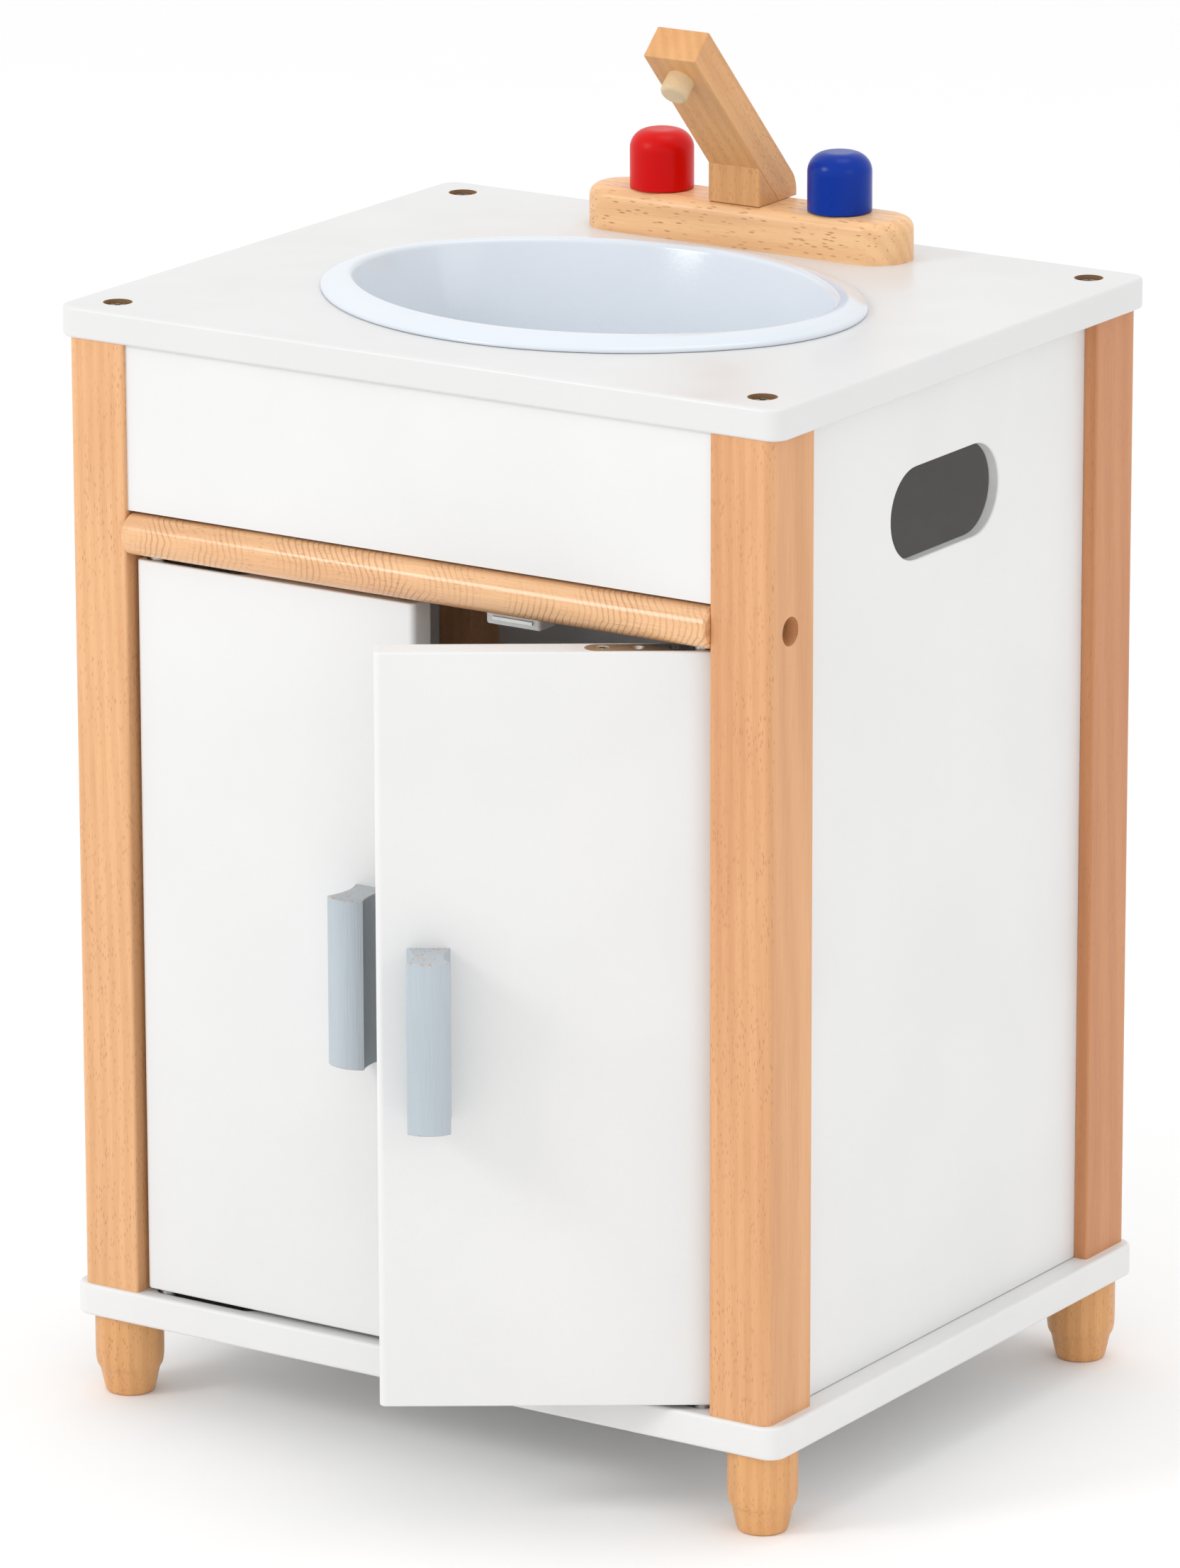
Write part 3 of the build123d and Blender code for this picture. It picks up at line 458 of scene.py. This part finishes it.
@once
def handle_paint(ends):
    """Brushed blue-grey paint over beech, rubbed through in spots along the end edges."""
    paint = bpy.context.scene.toy_paint
    base = tuple(paint.handle)
    material, tree, shader, place = new_material("Handle Paint")
    skin = use_group(tree, lacquer_skin(), Vector=place, Base=rgba(base), Shade=rgba(dimmed(base, 0.88)),
                     Mottle=0.5, Peel_Scale=700.0, Gloss=0.42)
    streak = tree.noise(tree.scale(place, (1, 1, 0.03)), 1300.0, 2.0)
    height = tree.node("ShaderNodeSeparateXYZ", Vector=place).outputs["Z"]
    low, high = ends
    to_end = tree.math("MINIMUM", tree.math("SUBTRACT", height, low), tree.math("SUBTRACT", high, height))
    edge = tree.ramp(to_end, 0.0011, 0.0002)
    spot = tree.ramp(tree.noise(place, 620.0, 2.0), 0.60, 0.64)
    chips = tree.math("MULTIPLY", edge, spot)
    streaky = tree.mix(tree.ramp(streak, 0.35, 0.75, 0.0, 0.35), skin["Colour"], rgba(dimmed(base, 0.86)))
    bare = rgba(bpy.context.scene.toy_beech.deep)
    tree.feed(shader.inputs["Base Color"], tree.mix(chips, streaky, bare))
    tree.feed(shader.inputs["Roughness"], skin["Roughness"])
    bump(tree, shader, tree.math("SUBTRACT", streak, chips), 0.00016)
    return material


@once
def zinc_steel():
    """Zinc plate: a cool metal with faint cloudy spangle."""
    paint = bpy.context.scene.toy_paint
    base = tuple(paint.zinc)
    material, tree, shader, place = new_material("Zinc Steel", Metallic=1.0)
    skin = use_group(tree, lacquer_skin(), Vector=place, Base=rgba(base), Shade=rgba(dimmed(base, 0.7)),
                     Mottle=0.8, Peel_Scale=2600.0, Gloss=0.28)
    tree.feed(shader.inputs["Base Color"], skin["Colour"])
    tree.feed(shader.inputs["Roughness"], skin["Roughness"])
    bump(tree, shader, skin["Height"], 0.00003)
    return material


def assign(names, material):
    for name in names:
        slots = NODES[name].data.materials
        slots.clear()
        slots.append(material)


# --- mesh helpers ------------------------------------------------------------------------------------
def new_piece(name, mesh_maker, material, body):
    mesh = bpy.data.meshes.new(name)
    maker = bmesh.new()
    mesh_maker(maker)
    bmesh.ops.remove_doubles(maker, verts=maker.verts, dist=1e-7)
    bmesh.ops.recalc_face_normals(maker, faces=maker.faces)
    for face in maker.faces:
        face.smooth = True
    maker.to_mesh(mesh)
    maker.free()
    mesh.materials.append(material)
    piece = bpy.data.objects.new(name, mesh)
    bpy.context.scene.collection.objects.link(piece)
    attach(piece, body)
    return piece


def arc(centre, radius, start, end, steps):
    """Points of an arc, angles in degrees."""
    turns = [math.radians(start + (end - start) * i / steps) for i in range(steps + 1)]
    return [(centre[0] + radius * math.cos(a), centre[1] + radius * math.sin(a)) for a in turns]


def skin_rings(maker, rings):
    """Joins closed rings of equal length, and closes both ends with a pole."""
    rows = [[maker.verts.new(point) for point in ring] for ring in rings]
    count = len(rows[0])
    for row, after in zip(rows, rows[1:]):
        for i in range(count):
            j = (i + 1) % count
            maker.faces.new((row[i], row[j], after[j], after[i]))
    for row in (rows[0], rows[-1]):
        middle = maker.verts.new(sum((v.co for v in row), Vector()) / count)
        for i in range(count):
            maker.faces.new((row[i], row[(i + 1) % count], middle))


def oval_outline(half_length, half_depth, end_radius, steps):
    """Points of a four-arc oval, or of an ellipse where its ends would have no radius."""
    if end_radius < 5 * MM:
        turns = [2 * math.pi * i / steps for i in range(steps)]
        return [Vector((half_length * math.cos(a), half_depth * math.sin(a))) for a in turns]
    rise = half_length - end_radius
    side_radius = (rise**2 + half_depth**2 - end_radius**2) / (2 * (half_depth - end_radius))
    sag = side_radius - half_depth
    meet = math.atan2(sag, rise)
    outline = []
    for i in range(steps):
        quarter, part = divmod(i * 4 / steps, 1.0)
        flip = quarter in (1, 3)
        part = 1 - part if flip else part
        turn = part * math.pi / 2
        normal = Vector((math.cos(turn), math.sin(turn)))
        if turn < meet:
            point = Vector((rise, 0)) + normal * end_radius
        else:
            point = Vector((0, -sag)) + normal * side_radius
        sx = -1 if quarter in (1, 2) else 1
        sy = -1 if quarter in (2, 3) else 1
        outline.append(Vector((point.x * sx, point.y * sy)))
    return outline


# --- pieces --------------------------------------------------------------------------------------------
class TOYKITCHEN_OT_boards(bpy.types.Operator):
    """Lacquer the worktop, base, panels, apron and doors"""

    bl_idname = "toykitchen.boards"
    bl_label = "Boards"

    def execute(self, context):
        assign(WHITE_BOARDS, white_lacquer())
        post_low, post_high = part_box("post_front_right")
        centre = ((post_low.x + post_high.x) / 2, -(post_low.y + post_high.y) / 2)
        assign(["worktop"], worktop_lacquer(centre, context.scene.toy_screws.bore))
        return {"FINISHED"}


class TOYKITCHEN_OT_frame(bpy.types.Operator):
    """Give the posts, rail and feet their beech figure"""

    bl_idname = "toykitchen.frame"
    bl_label = "Beech frame"

    def execute(self, context):
        wood = context.scene.toy_beech
        pale, deep = tuple(wood.pale), tuple(wood.deep)
        for number, (name, tone) in enumerate(UPRIGHTS.items()):
            shift = (0.37 * number, 0.21 * number, 0.13 * number)
            wood_tones = toned(pale, tone), toned(deep, tone)
            assign([name], beech(f"Beech Post {number + 1}", "Z", *wood_tones, 0.62, 1.0, 0.30, shift=shift))
        low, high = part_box("cross_rail")
        assign(["cross_rail"], rail_beech((low.y, (low.z + high.z) / 2)))
        turned = tuple(wood.turned_pale), tuple(wood.turned_deep)
        for number, name in enumerate(FEET):
            shift = (0.17 * number, 0.09 * number, 0.05)
            assign([name], beech(f"Beech Foot {number + 1}", "Z", *turned, 0.8, 0.9, 0.35, shift=shift))
        assign(["apron_dowels", "knob_axles", "spout_pin"], beech("Beech Dowel", "X", *turned, 0.4, 0.7, 0.2))
        return {"FINISHED"}


class TOYKITCHEN_OT_bowl(bpy.types.Operator):
    """Mould the drop-in bowl with its broad rounded rim"""

    bl_idname = "toykitchen.bowl"
    bl_label = "Bowl"

    def execute(self, context):
        sizes = context.scene.toy_bowl
        low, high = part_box("sink_bowl")
        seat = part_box("worktop")[1].z
        middle = (low + high) / 2
        half_length, half_depth = (high.x - low.x) / 2, (high.y - low.y) / 2
        rings = []
        for inset, z in self.profile(sizes, seat, low.z):
            outline = oval_outline(half_length - inset * sizes.end_share,
                                   half_depth - inset * sizes.side_share,
                                   sizes.end_radius - inset, OVAL_STEPS)
            rings.append([(middle.x + point.x, middle.y + point.y, z) for point in outline])
        paint = context.scene.toy_paint
        plastic = painted("Bowl Plastic", tuple(paint.bowl), dimmed(tuple(paint.bowl), 0.95), 0.17, 0.3,
                          500.0, 0.00004)
        piece = new_piece("sink_basin", lambda maker: skin_rings(maker, rings), plastic, "bowl")
        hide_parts("sink_bowl")
        return {"FINISHED"}

    def profile(self, sizes, seat, bottom):
        """(inset from the outer oval, height) from the floor's underside round to its inside."""
        width, wall, round_in = sizes.rim_width, sizes.wall, sizes.floor_radius
        crest, floor = seat + sizes.rim_height, bottom + wall
        lean = math.degrees(math.atan2(sizes.draft, crest - floor))
        foot_in = width + sizes.draft
        outer = round_in + wall
        centre = (foot_in + round_in * 0.98, floor + round_in)
        below = [(foot_in + 45 * MM, bottom), (foot_in + 30 * MM, bottom)]
        below += arc(centre, outer, 270, 180 - lean, 10)
        below += [(width - wall * 0.9, seat + 0.6 * MM), (width - wall - 1 * MM, seat + 0.3 * MM)]
        edge = [(1.2 * MM, seat + 0.02 * MM), (0.3 * MM, seat + 0.3 * MM), (0.0, seat + 0.9 * MM),
                (0.25 * MM, seat + 1.7 * MM), (0.9 * MM, seat + 2.4 * MM)]
        lip = 3.2 * MM
        start, end = (0.9 * MM, seat + 2.4 * MM), (width - lip, crest)
        dome = []
        for i in range(1, 10):
            share = i / 10
            ease = math.sin(share * math.pi / 2)
            dome.append((start[0] + (end[0] - start[0]) * share, start[1] + (end[1] - start[1]) * ease))
        mouth = arc((width - lip, crest - lip), lip, 90, lean, 8)
        inside = arc(centre, round_in, 180 - lean, 270, 12)
        floor_rings = [(foot_in + 30 * MM, floor), (foot_in + 45 * MM, floor - 0.1 * MM)]
        return below + edge + dome + mouth + inside + floor_rings


class TOYKITCHEN_OT_tap(bpy.types.Operator):
    """Finish the tap's bar, riser, spout, nozzle and painted knobs"""

    bl_idname = "toykitchen.tap"
    bl_label = "Tap"

    def execute(self, context):
        wood, paint = context.scene.toy_beech, context.scene.toy_paint
        pale, deep = tuple(wood.turned_pale), tuple(wood.turned_deep)
        bar = toned(tuple(wood.pale), 1.28), toned(tuple(wood.deep), 1.22)
        assign(["tap_base"], beech("Beech Tap Bar", "X", *bar, 0.85, 1.5, 0.3))
        assign(["tap_riser"], beech("Beech Riser", "Z", pale, deep, 0.7, 0.8, 0.3, shift=(0.3, 0.2, 0.1)))
        against, along = (-SPOUT_LEAN, 0.0, 0.0), (SPOUT_LEAN, 0.0, 0.0)
        assign(["tap_spout"], beech("Beech Spout", "Z", pale, deep, 0.55, 0.9, 0.3, turn=against))
        birch = tuple(wood.birch)
        peg = birch, dimmed(birch, 0.86)
        assign(["spout_nozzle"], beech("Birch Peg", "Y", *peg, 0.15, 0.5, 0.3, turn=along))
        red, blue = tuple(paint.red), tuple(paint.blue)
        assign(["hot_knob"], painted("Red Paint", red, dimmed(red, 0.8), 0.30, 0.3, 800.0, 0.00006, 0.18))
        assign(["cold_knob"], painted("Blue Paint", blue, dimmed(blue, 0.8), 0.26, 0.3, 800.0, 0.00006, 0.18))
        return {"FINISHED"}


class TOYKITCHEN_OT_handles(bpy.types.Operator):
    """Paint the two door handles"""

    bl_idname = "toykitchen.handles"
    bl_label = "Handles"

    def execute(self, context):
        low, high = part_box("left_handle")
        assign(["left_handle", "right_handle"], handle_paint((low.z, high.z)))
        return {"FINISHED"}


class TOYKITCHEN_OT_fittings(bpy.types.Operator):
    """Finish the hinge plates, pins, catches and strikes"""

    bl_idname = "toykitchen.fittings"
    bl_label = "Fittings"

    def execute(self, context):
        steel = [name for name in NODES if name.endswith(("_plate", "_strike", "_pins", "_poles"))]
        assign(steel, zinc_steel())
        catch = tuple(context.scene.toy_paint.catch)
        assign(["left_catch", "right_catch"], painted("Catch Plastic", catch, dimmed(catch, 0.92), 0.38, 0.3,
                                                      900.0, 0.00005))
        return {"FINISHED"}


def screw_tree():
    """Geometry Nodes: a cross-recessed head on every point, turned to the point's facing."""
    group = bpy.data.node_groups.new("Screw Heads", "GeometryNodeTree")
    face = group.interface
    face.new_socket("Geometry", in_out="INPUT", socket_type="NodeSocketGeometry")
    for label, value in (("Head Radius", 0.0046), ("Dome", 0.0007), ("Sink", 0.0026), ("Recess", 0.62)):
        face.new_socket(label, in_out="INPUT", socket_type="NodeSocketFloat").default_value = value
    face.new_socket("Seed", in_out="INPUT", socket_type="NodeSocketInt").default_value = 7
    face.new_socket("Material", in_out="INPUT", socket_type="NodeSocketMaterial")
    face.new_socket("Geometry", in_out="OUTPUT", socket_type="NodeSocketGeometry")
    tree = Tree(group)
    given = tree.node("NodeGroupInput").outputs
    ball = tree.node("GeometryNodeMeshUVSphere", Segments=28, Rings=14, Radius=1.0)
    split = tree.node("ShaderNodeSeparateXYZ", Vector=tree.node("GeometryNodeInputPosition").outputs[0])
    upper = tree.math("GREATER_THAN", split.outputs["Z"], 0.0)
    tall = tree.math("ADD", tree.math("MULTIPLY", upper, given["Dome"]),
                     tree.math("MULTIPLY", tree.math("SUBTRACT", 1.0, upper), given["Sink"]))
    spot = tree.node("ShaderNodeCombineXYZ",
                     X=tree.math("MULTIPLY", split.outputs["X"], given["Head Radius"]),
                     Y=tree.math("MULTIPLY", split.outputs["Y"], given["Head Radius"]),
                     Z=tree.math("MULTIPLY", split.outputs["Z"], tall))
    head = tree.node("GeometryNodeSetPosition", Geometry=ball.outputs["Mesh"], Position=spot.outputs[0])
    reach = tree.math("MULTIPLY", tree.math("MULTIPLY", given["Head Radius"], given["Recess"]), 2.0)
    thin = tree.math("MULTIPLY", given["Head Radius"], 0.26)
    deep = tree.math("ADD", given["Sink"], given["Dome"])
    cut = head.outputs[0]
    for x, y in ((reach, thin), (thin, reach)):
        size = tree.node("ShaderNodeCombineXYZ", X=x, Y=y, Z=deep)
        bar = tree.node("GeometryNodeMeshCube", Size=size.outputs[0])
        lift = tree.node("ShaderNodeCombineXYZ", Z=tree.math("MULTIPLY", given["Dome"], 1.2))
        placed = tree.node("GeometryNodeTransform", Geometry=bar.outputs["Mesh"], Translation=lift.outputs[0])
        trimmed = tree.node("GeometryNodeMeshBoolean", {"operation": "DIFFERENCE", "solver": "EXACT"})
        tree.feed(trimmed.inputs["Mesh 1"], cut)
        tree.feed(trimmed.inputs["Mesh 2"], placed.outputs[0])
        cut = trimmed.outputs["Mesh"]
    facing = tree.node("GeometryNodeInputNamedAttribute", {"data_type": "FLOAT_VECTOR"}, Name="facing")
    aim = tree.node("FunctionNodeAlignRotationToVector", {"axis": "Z"}, Vector=facing.outputs["Attribute"])
    spin = tree.node("FunctionNodeRandomValue", {"data_type": "FLOAT"})
    tree.feed(spin.inputs[2], 0.0)
    tree.feed(spin.inputs[3], math.pi)
    tree.feed(spin.inputs["Seed"], given["Seed"])
    turn = tree.node("FunctionNodeRotateRotation", {"rotation_space": "LOCAL"}, Rotation=aim.outputs[0])
    about = tree.node("ShaderNodeCombineXYZ", Z=spin.outputs[1])
    tree.feed(turn.inputs["Rotate By"], about.outputs[0])
    rows = tree.node("GeometryNodeInstanceOnPoints", Points=given["Geometry"], Instance=cut,
                     Rotation=turn.outputs[0])
    real = tree.node("GeometryNodeRealizeInstances", Geometry=rows.outputs[0])
    done = tree.node("GeometryNodeSetMaterial", Geometry=real.outputs[0], Material=given["Material"])
    leave = tree.node("NodeGroupOutput")
    tree.feed(leave.inputs["Geometry"], done.outputs[0])
    return group


def screw_places(node, facing):
    """Where the heads of a CAD screw group are: the furthest point of each screw along facing."""
    facing = Vector(facing).normalized()
    found = []
    for vertex in NODES[node].data.vertices:
        along = vertex.co.dot(facing)
        flat = vertex.co - facing * along
        near = [entry for entry in found if (entry["flat"] - flat).length < SCREW_REACH]
        if near:
            near[0]["points"].append(flat)
            near[0]["high"] = max(near[0]["high"], along)
        else:
            found.append({"flat": flat, "points": [flat], "high": along})
    places = []
    for entry in found:
        lows = Vector([min(p[i] for p in entry["points"]) for i in range(3)])
        highs = Vector([max(p[i] for p in entry["points"]) for i in range(3)])
        places.append((lows + highs) / 2 + facing * entry["high"])
    return places


def screw_row(name, body, node_facings, head_radius, dome, sink, lift=0.0):
    """One plain mesh of screw heads for a body, in place of the CAD screws."""
    sizes = bpy.context.scene.toy_screws
    points, facings = [], []
    for node, facing in node_facings:
        places = screw_places(node, facing)
        points += [place + Vector(facing).normalized() * (lift - dome) for place in places]
        facings += [tuple(facing)] * len(places)
    mesh = bpy.data.meshes.new(name)
    mesh.from_pydata([tuple(point) for point in points], [], [])
    attribute = mesh.attributes.new("facing", "FLOAT_VECTOR", "POINT")
    for item, facing in zip(attribute.data, facings):
        item.vector = facing
    piece = bpy.data.objects.new(name, mesh)
    bpy.context.scene.collection.objects.link(piece)
    group = bpy.data.node_groups.get("Screw Heads") or screw_tree()
    modifier = piece.modifiers.new("Screw Heads", "NODES")
    modifier.node_group = group
    wanted = {"Head Radius": head_radius, "Dome": dome, "Sink": sink, "Recess": sizes.recess,
              "Seed": len(name), "Material": zinc_steel()}
    for item in group.interface.items_tree:
        if item.in_out == "INPUT" and item.name in wanted:
            modifier[item.identifier] = wanted[item.name]
    piece.update_tag()
    bpy.context.view_layer.update()
    evaluated = piece.evaluated_get(bpy.context.evaluated_depsgraph_get())
    made = bpy.data.meshes.new_from_object(evaluated)
    piece.modifiers.clear()
    piece.data = made
    if not made.polygons:
        raise RuntimeError(f"{name}: no screw heads were made")
    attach(piece, body)
    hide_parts(*sorted({node for node, facing in node_facings}))
    return piece


class TOYKITCHEN_OT_screws(bpy.types.Operator):
    """Seat cross-recessed screw heads in the boards, posts, hinges and catches"""

    bl_idname = "toykitchen.screws"
    bl_label = "Screws"

    def execute(self, context):
        sizes = context.scene.toy_screws
        small = sizes.small_dome
        up, down = (0, 0, 1), (0, 0, -1)
        screw_row("worktop_screw_heads", "cabinet", [("worktop_screws", up)], sizes.top_radius, sizes.dome,
                  LARGE_SINK, sizes.top_lift)
        screw_row("foot_screw_heads", "cabinet", [("foot_screws", down)], sizes.foot_radius, sizes.dome,
                  LARGE_SINK)
        plates = [("rail_plate_screws", down), ("base_plate_screws", up), ("catch_screws", down)]
        screw_row("plate_screw_heads", "cabinet", plates, sizes.plate_radius, small, SMALL_SINK)
        tap = [("tap_base_screws", down)]
        screw_row("tap_screw_heads", "cabinet", tap, sizes.tap_radius, small, TAP_SINK)
        for side in ("left", "right"):
            edge = [(f"{side}_door_top_plate_screws", up), (f"{side}_door_bottom_plate_screws", down)]
            screw_row(f"{side}_edge_screw_heads", f"{side}_door", edge, sizes.edge_radius, small, SMALL_SINK)
            back = self.door_back(side)
            inner = [(f"{side}_handle_screws", back), (f"{side}_strike_screw", back)]
            screw_row(f"{side}_inner_screw_heads", f"{side}_door", inner, sizes.plate_radius, small,
                      SMALL_SINK)
        assign(["rail_bolts"], zinc_steel())
        return {"FINISHED"}

    def door_back(self, side):
        """The way a door's back faces at rest: the right door stands ajar."""
        back = Vector((0, 1, 0))
        if side == "right":
            ajar = -JOINTS["right_door_hinge"]["range_deg"][0]
            back.rotate(Matrix.Rotation(math.radians(ajar), 3, "Z"))
        return back


# --- stage ---------------------------------------------------------------------------------------
LAMPS = (                                   # name, place, point it faces, size, watts
    ("key", (-1.8, -3.0, 2.4), (0, 0, 0.3), 1.2, 34.0),
    ("fill", (3.2, -1.2, 1.6), (0, 0, 0.3), 1.6, 6.0),
    ("top", (0.3, 0.4, 3.4), (0, 0, 0.5), 1.6, 10.0),
)


def area_light(name, place, aim, size, power):
    data = bpy.data.lights.new(name, "AREA")
    data.shape = "DISK"
    data.size = size
    data.energy = power
    lamp = bpy.data.objects.new(name, data)
    lamp.location = place
    lamp.rotation_euler = (Vector(aim) - Vector(place)).to_track_quat("-Z", "Y").to_euler()
    bpy.context.scene.collection.objects.link(lamp)


class TOYKITCHEN_OT_stage(bpy.types.Operator):
    """Set the pale floor, the soft studio light and the camera"""

    bl_idname = "toykitchen.stage"
    bl_label = "Stage"

    def execute(self, context):
        settings = context.scene.toy_stage
        self.floor(settings.floor_size)
        self.lights(context)
        self.camera(context, settings)
        return {"FINISHED"}

    def floor(self, size):
        mesh = bpy.data.meshes.new("floor")
        half = size / 2
        corners = [(-half, -half, 0), (half, -half, 0), (half, half, 0), (-half, half, 0)]
        mesh.from_pydata(corners, [], [(0, 1, 2, 3)])
        floor = bpy.data.objects.new("floor", mesh)
        bpy.context.scene.collection.objects.link(floor)
        mesh.materials.append(painted("Floor", (0.96, 0.96, 0.96), (0.94, 0.94, 0.94), 0.8, 0.2, 40.0, 0.0))

    def lights(self, context):
        context.scene.view_settings.view_transform = "Standard"
        world = bpy.data.worlds.new("Studio")
        context.scene.world = world
        world.use_nodes = True
        sky = world.node_tree.nodes["Background"]
        sky.inputs["Color"].default_value = (1.0, 1.0, 1.0, 1.0)
        sky.inputs["Strength"].default_value = 0.98
        for name, place, aim, size, power in LAMPS:
            area_light(name, place, aim, size, power)

    def camera(self, context, settings):
        data = bpy.data.cameras.new("camera")
        data.lens = settings.lens
        data.sensor_width = 36.0
        data.clip_end = 100.0
        camera = bpy.data.objects.new("camera", data)
        context.scene.collection.objects.link(camera)
        away = Vector((math.sin(settings.azimuth) * math.cos(settings.elevation),
                       -math.cos(settings.azimuth) * math.cos(settings.elevation),
                       math.sin(settings.elevation)))
        camera.location = Vector(settings.target) + away * settings.distance
        look = (-away).to_track_quat("-Z", "Y").to_matrix()
        camera.rotation_euler = (look @ Matrix.Rotation(-settings.roll, 3, "Z")).to_euler()
        context.scene.camera = camera


# --- panel and registration -------------------------------------------------------------------------
OPERATORS = (
    TOYKITCHEN_OT_boards,
    TOYKITCHEN_OT_frame,
    TOYKITCHEN_OT_bowl,
    TOYKITCHEN_OT_tap,
    TOYKITCHEN_OT_handles,
    TOYKITCHEN_OT_fittings,
    TOYKITCHEN_OT_screws,
    TOYKITCHEN_OT_stage,
)
SETTINGS = {
    "toy_beech": BeechSettings,
    "toy_paint": PaintSettings,
    "toy_bowl": BowlSettings,
    "toy_screws": ScrewSettings,
    "toy_stage": StageSettings,
}


class TOYKITCHEN_PT_panel(bpy.types.Panel):
    """Lists the toy kitchen's pieces and settings"""

    bl_idname = "TOYKITCHEN_PT_panel"
    bl_label = "Toy Kitchen"
    bl_space_type = "VIEW_3D"
    bl_region_type = "UI"
    bl_category = "Toy Kitchen"

    def draw(self, context):
        for operator in OPERATORS:
            self.layout.operator(operator.bl_idname)
        for attribute, group in SETTINGS.items():
            box = self.layout.box()
            for key in group.__annotations__:
                box.prop(getattr(context.scene, attribute), key)


def register():
    for group in SETTINGS.values():
        bpy.utils.register_class(group)
    for attribute, group in SETTINGS.items():
        setattr(bpy.types.Scene, attribute, bpy.props.PointerProperty(type=group))
    for operator in OPERATORS:
        bpy.utils.register_class(operator)
    bpy.utils.register_class(TOYKITCHEN_PT_panel)


def unregister():
    bpy.utils.unregister_class(TOYKITCHEN_PT_panel)
    for operator in reversed(OPERATORS):
        bpy.utils.unregister_class(operator)
    for attribute, group in SETTINGS.items():
        delattr(bpy.types.Scene, attribute)
        bpy.utils.unregister_class(group)


def main():
    register()
    for operator in OPERATORS:
        module, name = operator.bl_idname.split(".")
        getattr(getattr(bpy.ops, module), name)()


if __name__ == "__main__":
    main()
